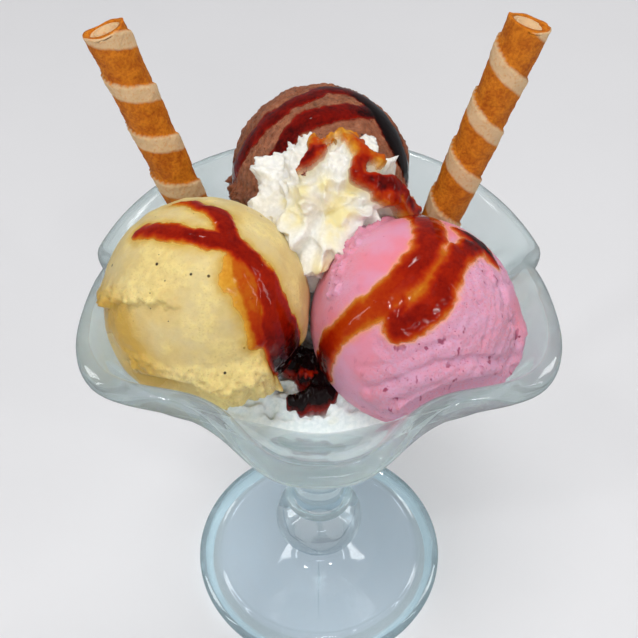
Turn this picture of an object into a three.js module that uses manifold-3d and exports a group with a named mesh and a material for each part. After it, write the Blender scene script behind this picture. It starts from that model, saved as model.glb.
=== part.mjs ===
// An ice cream sundae in its footed, three-lobed glass dish.
// Millimetres, +Z up. The origin is the middle of the foot's underside.
// The front of the sundae, where the two front scoops meet over a dip of the rim, faces -Y.

import * as THREE from 'three';
import { mergeVertices } from 'three/addons/utils/BufferGeometryUtils.js';
import Module from 'manifold-3d';

// ---------------------------------------------------------------- driving dimensions

const FIT_GAP = 0.4; // left between two pieces that touch

const DISH_SEGMENTS = 48;
const FOOT_RADIUS = 45;
const FOOT_BAND_WIDTH = 8; // raised band round the edge of the foot
const FOOT_BAND_HEIGHT = 5.4;
const FOOT_DOME_HEIGHT = 14; // where the dome of the foot meets the knob
const KNOB_RADIUS = 15.5;
const KNOB_HEIGHT = 24;
const NECK_RADIUS = 9;
const NECK_TOP = 56;
const BOWL_FLOOR = 63.5; // inside of the bowl, on the axis
const GLASS_THICKNESS = 3.7;
const LIP_RADIUS = 3.2; // half the thickness of the rounded lip

// The rim is a closed wave, the same on both sides. It is described by the turn from its front, 0 to
// 180 degrees. It dips at the front and at each side and stands out as a corner between them.
const FRONT_DIP_SPREAD = 23;
const FRONT_SPOUT_SPREAD = 18;
const FRONT_SPOUT_REACH = 7; // how far the front dip turns out
const CORNER_TURN = 54;
const CORNER_FRONT_SPREAD = 15.5;
const CORNER_SIDE_SPREAD = 22;
const CORNER_REACH = 11; // how far a corner stands out from its flanks
const SIDE_DIP_TURN = 105;
const SIDE_DIP_FRONT_SPREAD = 16;
const SIDE_DIP_BACK_SPREAD = 28;
const FLANK_RADIUS = 56.3; // middle of the lip on the flanks of a corner
const BACK_RADIUS = 62.4;
const DIP_HEIGHT = 141.2;
const CORNER_RISE = 8.1;
const BACK_RISE = 1.6;

const VANILLA_RADIUS = 26;
const STRAWBERRY_RADIUS = 26.5;
const CHOCOLATE_RADIUS = 25.3;
const SCOOP_DETAIL = 8;
const SCOOP_ARC = 26; // millimetres over a scoop for each radian round its middle
const VANILLA_CENTRE = new THREE.Vector3(-28.5, -22, 158);
const STRAWBERRY_CENTRE = new THREE.Vector3(24.2, -23.2, 151.8);
const CHOCOLATE_CENTRE = new THREE.Vector3(0.5, 30.3, 157);

const CREAM_LEVEL = 135; // top of the soft cream that fills the bowl, in its middle
const CREAM_EDGE_AT_DIP = 129;
const CREAM_EDGE_AT_LOBE = 132.5;
const WHIPPED_CENTRE = new THREE.Vector3(3, 4, 169);
const WHIPPED_RADII = new THREE.Vector3(20.5, 17, 18.5);
const WHIPPED_DETAIL = 6;
const WHIPPED_TAIL = 9; // how far its soft tail hangs down between the front scoops

const WAFER_RADIUS = 5.4;
const WAFER_WALL = 1.3;
const WAFER_SEAM = 0.5; // step where the rolled sheet overlaps itself
const WAFER_STRIPE_PITCH = 15.3;
const WAFER_SUNK_LENGTH = 34; // from the level of the scoops down into the cream
const WAFER_SEGMENTS = 16;
const WAFER_RINGS = 12;

// Inside of the bowl as [radius, height], from its floor to just under the lip:
// once through a dip, where the wall turns out into a shallow spout, and once through a lobe.
const WALL_AT_DIP = [
  [6, 64], [13, 70], [20, 79], [26, 90], [30.5, 101], [34.5, 112], [38, 122], [42, 129.5], [48.5, 134.5],
  [55, 138],
];
const WALL_AT_LOBE = [
  [6, 64], [13, 69.5], [20, 78], [26, 89], [31, 100], [35.5, 110.5], [41, 120], [48, 129], [55, 137],
  [59.5, 143.3],
];
const LIP_AT_DIP = [63.3, 141.2];
const LIP_AT_LOBE = [66.5, 149.3];

// Routes of the thick sauce and of the creases in each scoop, as [azimuth, elevation] from its middle.
const VANILLA_SAUCE = [
  { width: 7.5, route: [[164, 53], [-168, 70], [-119, 79], [-54, 75], [-24, 65]] },
  { width: 6.5, route: [[104, 63], [75, 74], [29, 76], [-15, 72], [-30, 62]] },
  { width: 10, route: [[-30, 62], [-36, 47], [-38, 33], [-37, 19], [-34, 3]] },
];
const STRAWBERRY_SAUCE = [
  { width: 8, route: [[77, 63], [3, 83], [-77, 74], [-105, 61], [-123, 45], [-137, 28], [-148, 8]] },
  { width: 8, route: [[36, 46], [13, 63], [-33, 72], [-71, 64], [-91, 53], [-101, 43], [-106, 34]] },
];
const CHOCOLATE_SAUCE = [
  { width: 5.5, route: [[45, 71], [145, 81], [176, 60], [-174, 39], [-165, 21], [-169, 2]] },
  { width: 5, route: [[-16, 65], [-55, 77], [-121, 69], [-132, 55], [-133, 38]] },
  { width: 9, route: [[45, 71], [22, 57], [7, 42], [-7, 27], [-14, 9]] },
];
const SAUCE_THICKNESS = 1.1;
const POOL_THICKNESS = 1.6; // the sauce that has run together between the front scoops
const POOL_CENTRE = new THREE.Vector2(-1.5, -29);
const POOL_RADII = new THREE.Vector2(6.5, 10.5);

const VANILLA_LEDGE = [[-170, 14], [-159, 22], [-141, 33], [-121, 38], [-99, 40]];
const VANILLA_SKIRT = [[-120, -8], [-105, -6], [-90, -12], [-74, -20]];
const STRAWBERRY_CREASE = [[-114, -1], [-96, 9], [-75, 11], [-41, 3], [-15, 6]];
const STRAWBERRY_SKIRT = [[-114, -12], [-96, -3], [-75, -2], [-41, -8], [-15, -5]];
const CHOCOLATE_FOOT = [[-176, -8], [-160, -3], [-142, 4]];

// ---------------------------------------------------------------- small helpers

const wasm = await Module();
wasm.setup();

const radians = THREE.MathUtils.degToRad;

/** The unit vector that points at an azimuth and an elevation, both in degrees. */
function heading([azimuth, elevation]) {
  const flat = Math.cos(radians(elevation));
  return new THREE.Vector3(
    flat * Math.cos(radians(azimuth)), flat * Math.sin(radians(azimuth)), Math.sin(radians(elevation)),
  );
}

/** Smooth, uneven relief between about -1 and 1 at a point, with bumps about `size` across. */
function relief(point, size) {
  const k = Math.PI / size;
  const a = Math.sin(k * (1.0 * point.x + 0.55 * point.y) + 1.3);
  const b = Math.sin(k * (0.9 * point.y - 0.62 * point.z) + 0.4);
  const c = Math.sin(k * (1.05 * point.z + 0.5 * point.x) + 2.2);
  const d = Math.sin(k * (1.7 * point.x - 1.3 * point.z + 0.8 * point.y) + 0.9);
  return 0.45 * (a * b + b * c) + 0.35 * c * a + 0.3 * d;
}

/** Turns a geometry into a solid with merged vertices. */
function toSolid(geometry) {
  const bare = geometry.clone();
  bare.deleteAttribute('normal');
  bare.deleteAttribute('uv');
  const merged = mergeVertices(bare, 1e-4);
  return new wasm.Manifold(new wasm.Mesh({
    numProp: 3,
    vertProperties: new Float32Array(merged.attributes.position.array),
    triVerts: new Uint32Array(merged.index.array),
  }));
}

/** The largest connected body of a solid, as a geometry. */
function toGeometry(solid) {
  const bodies = solid.decompose();
  const largest = bodies.reduce((best, body) => (body.volume() > best.volume() ? body : best));
  const mesh = largest.getMesh();
  const geometry = new THREE.BufferGeometry();
  geometry.setAttribute('position', new THREE.BufferAttribute(new Float32Array(mesh.vertProperties), 3));
  geometry.setIndex(new THREE.BufferAttribute(new Uint32Array(mesh.triVerts), 1));
  geometry.computeVertexNormals();
  return geometry;
}

/** A lathe of `stations` rings whose every vertex is then put where `place(station, angle)` says. */
function sweep(stations, segments, place) {
  const profile = Array.from({ length: stations }, (_, i) => new THREE.Vector2(1, i));
  const geometry = new THREE.LatheGeometry(profile, segments);
  const position = geometry.attributes.position;
  for (let i = 0; i < position.count; i += 1) {
    const segment = Math.floor(i / stations) % segments;
    const point = place(i % stations, (segment / segments) * 2 * Math.PI);
    position.setXYZ(i, point.x, point.y, point.z);
  }
  return geometry;
}

function pointAt(radius, angle, height) {
  return new THREE.Vector3(radius * Math.cos(angle), radius * Math.sin(angle), height);
}

// ---------------------------------------------------------------- glass dish

/** A bump of height 1 at offset 0 that fades out past `spread`; a higher power has a flatter top. */
function bump(offset, spread, power = 2) {
  return Math.exp(-(Math.abs(offset / spread) ** power));
}

/** Middle of the lip at an angle round +Z, and how much of a lobe, against a dip, the wall is there. */
function lipAt(angle) {
  const aside = Math.abs(THREE.MathUtils.radToDeg(angle) + 90) % 360;
  const turn = Math.min(aside, 360 - aside);
  const inFront = turn < SIDE_DIP_TURN;
  const frontDip = bump(turn, FRONT_DIP_SPREAD, 3);
  const sideDip = bump(turn - SIDE_DIP_TURN, inFront ? SIDE_DIP_FRONT_SPREAD : SIDE_DIP_BACK_SPREAD);
  const share = 1 - Math.max(frontDip, sideDip);
  const cornerSpread = turn < CORNER_TURN ? CORNER_FRONT_SPREAD : CORNER_SIDE_SPREAD;
  const backward = THREE.MathUtils.smoothstep(turn, SIDE_DIP_TURN - 14, SIDE_DIP_TURN - 1);
  return {
    share,
    radius: THREE.MathUtils.lerp(FLANK_RADIUS, BACK_RADIUS, backward)
      + CORNER_REACH * bump(turn - CORNER_TURN, cornerSpread)
      + FRONT_SPOUT_REACH * bump(turn, FRONT_SPOUT_SPREAD, 3),
    height: DIP_HEIGHT + share * (inFront ? CORNER_RISE : BACK_RISE),
  };
}

/** Inside of the bowl at an angle, from its floor to its lip, as [radius, height] points. */
function innerWall(angle) {
  const lip = lipAt(angle);
  const pullOut = lip.radius - THREE.MathUtils.lerp(LIP_AT_DIP[0], LIP_AT_LOBE[0], lip.share);
  const pullUp = lip.height - THREE.MathUtils.lerp(LIP_AT_DIP[1], LIP_AT_LOBE[1], lip.share);
  return WALL_AT_DIP.map(([dipRadius, dipHeight], i) => {
    const [lobeRadius, lobeHeight] = WALL_AT_LOBE[i];
    const pull = Math.max(0, (i - 4) / (WALL_AT_DIP.length - 4));
    return [
      THREE.MathUtils.lerp(dipRadius, lobeRadius, lip.share) + pull * pullOut,
      THREE.MathUtils.lerp(dipHeight, lobeHeight, lip.share) + pull * pullUp,
    ];
  });
}

/** The wall's points moved to its outer side by the thickness of the glass. */
function outerWall(inner, lip) {
  const line = [...inner, [lip.radius, lip.height]];
  return inner.map(([radius, height], i) => {
    const before = line[Math.max(i - 1, 0)];
    const after = line[i + 1];
    const along = new THREE.Vector2(after[0] - before[0], after[1] - before[1]).normalize();
    return [radius + along.y * GLASS_THICKNESS, height - along.x * GLASS_THICKNESS];
  });
}

/** Foot, knob and neck, the same all the way round. */
function stemProfile() {
  const bandInside = FOOT_RADIUS - FOOT_BAND_WIDTH;
  const points = [
    [0, 0], [FOOT_RADIUS - 4.5, 0], [FOOT_RADIUS - 1.3, 0.9], [FOOT_RADIUS, 2.8],
    [FOOT_RADIUS - 0.7, 4.6], [FOOT_RADIUS - 2.8, FOOT_BAND_HEIGHT], [bandInside + 1.8, 4.7],
    [bandInside, 4], [bandInside - 2, 4.4], [bandInside - 10, 5.8], [bandInside - 18, 8.2],
    [12, 11.4],
  ];
  const middle = FOOT_DOME_HEIGHT + 0.5 * KNOB_HEIGHT;
  for (const tilt of [-58, -32, -8, 16, 40, 62]) {
    points.push([
      KNOB_RADIUS * Math.cos(radians(tilt)) ** 0.85, middle + 0.5 * KNOB_HEIGHT * Math.sin(radians(tilt)),
    ]);
  }
  points.push([NECK_RADIUS - 0.4, middle + 14.5], [NECK_RADIUS, NECK_TOP - 3], [NECK_RADIUS + 2, NECK_TOP + 3.4]);
  return points;
}

/** The whole section of the dish at an angle, as a profile that starts and ends on the axis. */
function dishSection(angle, spare) {
  const lip = lipAt(angle);
  const inner = innerWall(angle);
  const outer = outerWall(inner, lip).slice(1);
  const [innerRadius, innerHeight] = inner[inner.length - 1];
  const lean = Math.atan2(lip.height - innerHeight, lip.radius - innerRadius);
  const bead = [-85, -42, 0, 42, 85].map((turn) => [
    lip.radius + (LIP_RADIUS + spare) * Math.cos(lean + radians(turn)),
    lip.height + (LIP_RADIUS + spare) * Math.sin(lean + radians(turn)),
  ]);
  const inside = inner.reverse().map(([radius, height]) => [radius - spare, height + spare]);
  return [...stemProfile(), ...outer, ...bead, ...inside, [0, BOWL_FLOOR + spare]];
}

/** The dish; `spare` makes its inside and its lip that much thicker, to trim what rests in it. */
function dishGeometry(spare = 0) {
  const sections = Array.from({ length: DISH_SEGMENTS }, (_, i) => (
    dishSection((i / DISH_SEGMENTS) * 2 * Math.PI, spare)
  ));
  return sweep(sections[0].length, DISH_SEGMENTS, (station, angle) => {
    const segment = Math.round((angle / (2 * Math.PI)) * DISH_SEGMENTS) % DISH_SEGMENTS;
    const [radius, height] = sections[segment][station];
    return pointAt(radius, angle, height);
  });
}

/** The largest radius that a piece in the bowl may reach at a height, clear of the wall and the lip. */
function roomInBowl(angle, height) {
  const lip = lipAt(angle);
  const wall = innerWall(angle);
  const lipInside = lip.radius - LIP_RADIUS;
  const overLip = height - lip.height - LIP_RADIUS - 1;
  if (overLip >= 0) return lipInside - 2 * FIT_GAP + 0.9 * overLip;
  if (height >= lip.height - 1) return lipInside - 2 * FIT_GAP;
  const line = [...wall, [lipInside, lip.height - 1]];
  for (let i = 1; i < line.length; i += 1) {
    const [lowRadius, lowHeight] = line[i - 1];
    const [highRadius, highHeight] = line[i];
    if (height <= highHeight) {
      const share = Math.max(0, (height - lowHeight) / (highHeight - lowHeight));
      return THREE.MathUtils.lerp(lowRadius, highRadius, share) - 2 * FIT_GAP;
    }
  }
  return lipInside;
}

// ---------------------------------------------------------------- scoops

/** Distance in millimetres over a scoop from a direction to the nearest part of a route. */
function distanceToRoute(direction, route) {
  const stops = route.map(heading);
  let nearest = Infinity;
  for (let i = 1; i < stops.length; i += 1) {
    const leg = stops[i].clone().sub(stops[i - 1]);
    const share = THREE.MathUtils.clamp(direction.clone().sub(stops[i - 1]).dot(leg) / leg.lengthSq(), 0, 1);
    const foot = stops[i - 1].clone().addScaledVector(leg, share).normalize();
    nearest = Math.min(nearest, direction.angleTo(foot));
  }
  return nearest * SCOOP_ARC;
}

/** 1 on a route, falling smoothly to 0 at `reach` from it. */
function band(direction, route, reach) {
  return THREE.MathUtils.smoothstep(reach - distanceToRoute(direction, route), 0, reach);
}

/** 1 at a heading, falling smoothly to 0 at `reach` millimetres from it. */
function mound(direction, centre, reach) {
  return THREE.MathUtils.smoothstep(reach - direction.angleTo(heading(centre)) * SCOOP_ARC, 0, reach);
}

/** Rounded ribbon of sauce: flat on top, steep at its edges. */
function sauceRaise(direction, ribbons) {
  return ribbons.reduce((raise, { width, route }) => {
    const away = distanceToRoute(direction, route) / (0.5 * width);
    return Math.max(raise, SAUCE_THICKNESS * Math.sqrt(Math.max(0, 1 - away ** 3)));
  }, 0);
}

function vanillaSurface(direction) {
  const point = direction.clone().multiplyScalar(VANILLA_RADIUS);
  const low = THREE.MathUtils.clamp(0.25 - direction.z, 0, 1);
  return VANILLA_RADIUS
    + 0.35 * relief(point, 17)
    + 1.3 * low * relief(point, 7)
    + 1.1 * band(direction, VANILLA_LEDGE, 3.5)
    - 0.7 * band(direction, VANILLA_LEDGE.map(([azimuth, elevation]) => [azimuth, elevation - 9]), 4)
    + (1.6 + relief(point, 5)) * band(direction, VANILLA_SKIRT, 5)
    + (2.4 + 1.1 * relief(point, 5)) * mound(direction, [-58, -15], 13)
    + sauceRaise(direction, VANILLA_SAUCE);
}

function strawberrySurface(direction) {
  const point = direction.clone().multiplyScalar(STRAWBERRY_RADIUS);
  const rough = THREE.MathUtils.smoothstep(direction.x, -0.3, 0.7);
  return STRAWBERRY_RADIUS
    + 0.3 * relief(point, 18)
    + 0.7 * rough * relief(point, 6)
    - 1.0 * band(direction, STRAWBERRY_CREASE, 3)
    + (1.3 + 0.8 * relief(point, 6)) * band(direction, STRAWBERRY_SKIRT, 5)
    + sauceRaise(direction, STRAWBERRY_SAUCE);
}

function chocolateSurface(direction) {
  const point = direction.clone().multiplyScalar(CHOCOLATE_RADIUS);
  const turn = THREE.MathUtils.radToDeg(direction.angleTo(heading([-50, 25])));
  return CHOCOLATE_RADIUS
    + 0.35 * Math.cos(radians(turn * 28))
    + 0.5 * relief(point, 8)
    + (1.6 + 1.4 * relief(point, 4.5)) * band(direction, CHOCOLATE_FOOT, 5.5)
    + sauceRaise(direction, CHOCOLATE_SAUCE);
}

/** Presses a point of a scoop back inside the bowl and off the scoop beside it. */
function press(point, neighbour, centre, spare) {
  if (neighbour) {
    const apart = neighbour.clone().sub(centre);
    const reach = 0.5 * apart.length() - 0.5 * FIT_GAP - 0.1 + spare;
    const along = apart.normalize();
    const past = point.clone().sub(centre).dot(along) - reach;
    if (past > 0) point.addScaledVector(along, -past);
  }
  const angle = Math.atan2(point.y, point.x);
  const radius = Math.hypot(point.x, point.y);
  const room = roomInBowl(angle, point.z) + spare;
  if (radius > room) {
    point.x *= room / radius;
    point.y *= room / radius;
  }
  return point;
}

/** A scoop of ice cream; `spare` makes it larger all over, to cut a place for it in its neighbours. */
function scoopGeometry({ centre, surface, neighbour }, spare = 0) {
  const geometry = new THREE.IcosahedronGeometry(1, SCOOP_DETAIL);
  const position = geometry.attributes.position;
  const direction = new THREE.Vector3();
  for (let i = 0; i < position.count; i += 1) {
    direction.fromBufferAttribute(position, i).normalize();
    const point = centre.clone().addScaledVector(direction, surface(direction) + spare);
    press(point, neighbour, centre, spare);
    position.setXYZ(i, point.x, point.y, point.z);
  }
  return geometry;
}

const SCOOPS = {
  vanilla_scoop: { centre: VANILLA_CENTRE, surface: vanillaSurface, neighbour: STRAWBERRY_CENTRE },
  strawberry_scoop: { centre: STRAWBERRY_CENTRE, surface: strawberrySurface, neighbour: VANILLA_CENTRE },
  chocolate_scoop: { centre: CHOCOLATE_CENTRE, surface: chocolateSurface },
};

// ---------------------------------------------------------------- rolled wafers

// Each wafer leans out over the back of the dish: `foot` is a point of its axis level with the scoops,
// `tip` is the middle of its open upper end.
const WAFERS = {
  wafer_left: { foot: new THREE.Vector3(-37.5, 20.9, 155.2), tip: new THREE.Vector3(-54.4, 27.6, 205.9) },
  wafer_right: { foot: new THREE.Vector3(34.9, 18.8, 150.4), tip: new THREE.Vector3(52.8, 27.1, 208.1) },
};

function waferLength({ foot, tip }) {
  return foot.distanceTo(tip) + WAFER_SUNK_LENGTH;
}

/** A hollow roll standing on +Z; its outer face steps where the rolled sheet overlaps. */
function waferGeometry(length) {
  const outside = (angle, height) => {
    const turns = angle / (2 * Math.PI) - height / WAFER_STRIPE_PITCH;
    return pointAt(WAFER_RADIUS + WAFER_SEAM * (turns - Math.floor(turns)), angle, height);
  };
  return sweep(WAFER_RINGS + 3, WAFER_SEGMENTS, (station, angle) => {
    if (station < WAFER_RINGS) return outside(angle, (length * station) / (WAFER_RINGS - 1));
    if (station === WAFER_RINGS) return pointAt(WAFER_RADIUS - WAFER_WALL, angle, length);
    if (station === WAFER_RINGS + 1) return pointAt(WAFER_RADIUS - WAFER_WALL, angle, 0);
    return outside(angle, 0);
  });
}

/** The turn and place that stand a wafer where it leans. */
function waferPose({ foot, tip }) {
  const along = tip.clone().sub(foot).normalize();
  const turn = new THREE.Quaternion().setFromUnitVectors(new THREE.Vector3(0, 0, 1), along);
  return { place: foot.clone().addScaledVector(along, -WAFER_SUNK_LENGTH), turn };
}

/** A plain cylinder a little larger than a wafer, to cut its hole. */
function waferCutter(wafer) {
  const length = waferLength(wafer) + 2 * FIT_GAP;
  const radius = WAFER_RADIUS + WAFER_SEAM + FIT_GAP;
  const { place, turn } = waferPose(wafer);
  const geometry = new THREE.CylinderGeometry(radius, radius, length, 24);
  geometry.rotateX(Math.PI / 2);
  geometry.translate(0, 0, 0.5 * length - FIT_GAP);
  geometry.applyQuaternion(turn);
  geometry.translate(place.x, place.y, place.z);
  return geometry;
}

// ---------------------------------------------------------------- cream

/** Height of the soft cream's top, with the pool of sauce that has run between the front scoops. */
function creamTop(x, y) {
  const point = new THREE.Vector3(x, y, 0);
  const poolAway = Math.hypot((x - POOL_CENTRE.x) / POOL_RADII.x, (y - POOL_CENTRE.y) / POOL_RADII.y);
  const pool = POOL_THICKNESS * Math.sqrt(Math.max(0, 1 - poolAway ** 3));
  return CREAM_LEVEL + 0.9 * relief(point, 9) + pool;
}

/** Cream that fills the bowl to its level; it stays a gap inside the glass. */
function creamGeometry() {
  const topRings = 6;
  const wallRings = WALL_AT_DIP.length;
  const edges = new Map();
  const edgeAt = (angle) => {
    if (!edges.has(angle)) edges.set(angle, creamSide(angle));
    return edges.get(angle);
  };
  return sweep(wallRings + topRings + 1, DISH_SEGMENTS, (station, angle) => {
    const side = edgeAt(angle);
    if (station === 0) return pointAt(0, angle, BOWL_FLOOR + 2 * FIT_GAP);
    if (station <= wallRings) return pointAt(side[station - 1][0], angle, side[station - 1][1]);
    const share = 1 - (station - wallRings) / topRings;
    const radius = side[wallRings - 1][0] * share;
    const x = radius * Math.cos(angle);
    const y = radius * Math.sin(angle);
    const settle = THREE.MathUtils.smoothstep(1 - share, 0, 0.45);
    return new THREE.Vector3(x, y, THREE.MathUtils.lerp(side[wallRings - 1][1], creamTop(x, y), settle));
  });
}

/** Side of the cream at an angle: the wall's own points up to where the wall passes the level. */
function creamSide(angle) {
  const wall = innerWall(angle).map(([radius, height]) => [radius - FIT_GAP, height + FIT_GAP]);
  const level = THREE.MathUtils.lerp(CREAM_EDGE_AT_DIP, CREAM_EDGE_AT_LOBE, lipAt(angle).share);
  const above = wall.findIndex(([, height]) => height > level);
  const side = wall.slice(0, above);
  const [lowRadius, lowHeight] = wall[above - 1];
  const [highRadius, highHeight] = wall[above];
  const missing = wall.length - above;
  for (let i = 1; i <= missing; i += 1) {
    const share = ((i / missing) * (level - lowHeight)) / (highHeight - lowHeight);
    side.push([
      THREE.MathUtils.lerp(lowRadius, highRadius, share), THREE.MathUtils.lerp(lowHeight, highHeight, share),
    ]);
  }
  return side;
}

/** A ragged spoonful of whipped cream. */
function whippedGeometry() {
  const geometry = new THREE.IcosahedronGeometry(1, WHIPPED_DETAIL);
  const position = geometry.attributes.position;
  const direction = new THREE.Vector3();
  for (let i = 0; i < position.count; i += 1) {
    direction.fromBufferAttribute(position, i).normalize();
    const point = direction.clone().multiply(WHIPPED_RADII);
    const ragged = 2.2 * Math.abs(relief(point, 9)) + 1.4 * relief(point, 4.5);
    const tail = WHIPPED_TAIL * mound(direction, [-92, -36], 13);
    point.addScaledVector(direction, ragged + tail - 0.8).add(WHIPPED_CENTRE);
    position.setXYZ(i, point.x, point.y, point.z);
  }
  return geometry;
}

// ---------------------------------------------------------------- assembly

const FINISHES = {
  dish: { color: 0xc3d1d2, roughness: 0.08, metalness: 0, transparent: true, opacity: 0.5 },
  cream_base: { color: 0xf3f1ea, roughness: 0.5, metalness: 0 },
  vanilla_scoop: { color: 0xefd58f, roughness: 0.55, metalness: 0 },
  strawberry_scoop: { color: 0xdf8fae, roughness: 0.55, metalness: 0 },
  chocolate_scoop: { color: 0x6b4535, roughness: 0.6, metalness: 0 },
  whipped_cream: { color: 0xf8f4e6, roughness: 0.5, metalness: 0 },
  wafer_left: { color: 0xd89a55, roughness: 0.8, metalness: 0 },
  wafer_right: { color: 0xd89a55, roughness: 0.8, metalness: 0 },
};

function piece(name, geometry) {
  const mesh = new THREE.Mesh(geometry, new THREE.MeshStandardMaterial(FINISHES[name]));
  mesh.name = name;
  return mesh;
}

function buildSundae() {
  const sundae = new THREE.Group();
  sundae.add(piece('dish', dishGeometry()));
  const scoopRooms = Object.values(SCOOPS).map((scoop) => toSolid(scoopGeometry(scoop, FIT_GAP)));
  const waferRooms = Object.values(WAFERS).map((wafer) => toSolid(waferCutter(wafer)));
  const dishRoom = toSolid(dishGeometry(FIT_GAP));
  for (const [name, scoop] of Object.entries(SCOOPS)) {
    sundae.add(piece(name, toGeometry(toSolid(scoopGeometry(scoop)).subtract(dishRoom))));
  }
  let base = toSolid(creamGeometry());
  let whipped = toSolid(whippedGeometry());
  for (const room of [...scoopRooms, ...waferRooms]) {
    base = base.subtract(room);
    whipped = whipped.subtract(room);
  }
  sundae.add(piece('cream_base', toGeometry(base)));
  sundae.add(piece('whipped_cream', toGeometry(whipped)));
  for (const [name, wafer] of Object.entries(WAFERS)) {
    const { place, turn } = waferPose(wafer);
    const mesh = piece(name, waferGeometry(waferLength(wafer)));
    mesh.position.copy(place);
    mesh.quaternion.copy(turn);
    sundae.add(mesh);
  }
  return sundae;
}

export default buildSundae();
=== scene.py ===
"""Dresses an ice cream sundae: glass dish, soft cream, three scoops, whipped cream, sauce and wafers.

Lengths in the classes are millimetres in the frame of the part: +Z up, the origin under the middle of the
foot and the front towards -Y. A finished mesh is brought to metres. Places on a scoop are given as a heading
from its middle, as an azimuth and an elevation in degrees.
"""

from __future__ import annotations

import logging
import math
from abc import ABC, abstractmethod
from dataclasses import dataclass
from enum import Enum
from typing import Any, Sequence

import bmesh
import bpy
import numpy as np
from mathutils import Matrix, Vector, noise

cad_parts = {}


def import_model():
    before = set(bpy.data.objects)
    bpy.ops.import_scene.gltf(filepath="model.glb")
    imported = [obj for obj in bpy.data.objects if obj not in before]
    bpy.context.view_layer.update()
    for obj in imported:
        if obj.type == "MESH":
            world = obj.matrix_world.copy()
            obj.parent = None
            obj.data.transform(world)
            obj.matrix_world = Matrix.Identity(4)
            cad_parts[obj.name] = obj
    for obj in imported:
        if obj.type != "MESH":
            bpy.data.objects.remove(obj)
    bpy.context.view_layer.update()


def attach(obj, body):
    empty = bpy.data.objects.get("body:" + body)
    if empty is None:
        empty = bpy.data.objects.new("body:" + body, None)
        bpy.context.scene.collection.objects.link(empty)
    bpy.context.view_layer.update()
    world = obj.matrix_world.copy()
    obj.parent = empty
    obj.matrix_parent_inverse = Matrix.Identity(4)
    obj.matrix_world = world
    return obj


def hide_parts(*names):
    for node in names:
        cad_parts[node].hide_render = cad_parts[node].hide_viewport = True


LOG = logging.getLogger("sundae")
METRES = 0.001  # a millimetre
BODY = "root"

Colour = tuple[float, float, float]
Heading = tuple[float, float]
Stop = tuple[float, float, float, float]  # azimuth, elevation, half width, tint
Place = tuple[float, float, float]
Span = tuple[float, float]  # where a step starts and ends

WAVES = (  # direction and phase of each wave that the smooth relief is made of
    ((1.0, 0.55, 0.0), 1.3),
    ((0.0, 0.9, -0.62), 0.4),
    ((0.5, 0.0, 1.05), 2.2),
    ((1.7, 0.8, -1.3), 0.9),
)
GRAIN_FADE = 0.9  # how fast the finer layers of the grain grow weaker
GRAIN_GAP = 2.1  # how much finer each layer is than the one before
CRUMB_STEEPNESS = 1.6
MERGE_DISTANCE = 1e-4  # in millimetres


# ---------------------------------------------------------------- arrays of points


def heading(place: Sequence[float]) -> np.ndarray:
    """Unit vector of a heading.

    Args:
        place: azimuth and elevation in degrees; what follows them isn't read.

    Returns:
        The vector, as an array of three numbers.
    """
    azimuth, elevation = math.radians(place[0]), math.radians(place[1])
    flat = math.cos(elevation)
    return np.array([flat * math.cos(azimuth), flat * math.sin(azimuth), math.sin(elevation)])


def on_floor(x: np.ndarray, y: np.ndarray) -> np.ndarray:
    """Rows of x, y and 0."""
    return np.stack([x, y, np.zeros_like(x)], axis=1)


def turned(radius: np.ndarray, angle: np.ndarray, height: np.ndarray) -> np.ndarray:
    """Rows of x, y, z from a radius, an angle round +Z and a height."""
    return np.stack([radius * np.cos(angle), radius * np.sin(angle), height], axis=1)


def smoothstep(value: np.ndarray, low: float, high: float) -> np.ndarray:
    """Smooth step from 0 at low to 1 at high."""
    share = np.clip((value - low) / (high - low), 0.0, 1.0)
    return share * share * (3.0 - 2.0 * share)


def bump(offset: np.ndarray, spread: np.ndarray | float, power: float = 2.0) -> np.ndarray:
    """Bump of height 1 at offset 0 that fades out past its spread; a higher power has a flatter top."""
    return np.exp(-(np.abs(offset / spread) ** power))


def relief(points: np.ndarray, size: float) -> np.ndarray:
    """Smooth uneven relief between about -1 and 1, with bumps of a size in millimetres."""
    a, b, c, d = (np.sin(math.pi / size * (points @ np.array(way)) + phase) for way, phase in WAVES)
    return 0.45 * (a * b + b * c) + 0.35 * c * a + 0.3 * d


def grain(points: np.ndarray, size: float, octaves: int = 3) -> np.ndarray:
    """Fractal noise of about -1 to 1, with its largest bumps of a size in millimetres."""
    return np.array([noise.fractal(Vector(p), GRAIN_FADE, GRAIN_GAP, octaves) for p in points / size])


def crumble(points: np.ndarray, size: float) -> np.ndarray:
    """Height of packed crumbs of a size in millimetres, 1 on a crumb's middle and 0 between crumbs."""
    gaps = [noise.voronoi(Vector(p))[0] for p in points / size]
    return np.array([min(1.0, CRUMB_STEEPNESS * (g[1] - g[0])) for g in gaps])


@dataclass(frozen=True)
class Swell:
    """Smooth relief: its height and the size of its bumps, in millimetres."""

    height: float
    size: float

    def at(self, points: np.ndarray) -> np.ndarray:
        """Height at each point."""
        return self.height * relief(points, self.size)


@dataclass(frozen=True)
class Grain:
    """Fractal relief: its height and the size of its largest bumps, in millimetres, and its layers."""

    height: float
    size: float
    layers: int = 3

    def at(self, points: np.ndarray) -> np.ndarray:
        """Height at each point."""
        return self.height * grain(points, self.size, self.layers)


@dataclass(frozen=True)
class DragLines:
    """Ridges in rings round a heading, where the ice cream was dragged."""

    middle: Heading
    pitch: float  # degrees from one ridge to the next
    wander: Swell  # how far the ridges stray, in radians of their wave

    def at(self, directions: np.ndarray, points: np.ndarray) -> np.ndarray:
        """Height of the ridges between -1 and 1.

        Args:
            directions: unit vectors from the scoop's middle.
            points: the same directions in millimetres.

        Returns:
            The height in each direction.
        """
        turn = np.degrees(np.arccos(np.clip(directions @ heading(self.middle), -1, 1)))
        return np.cos(np.radians(360.0 / self.pitch * turn) + self.wander.at(points))


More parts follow.
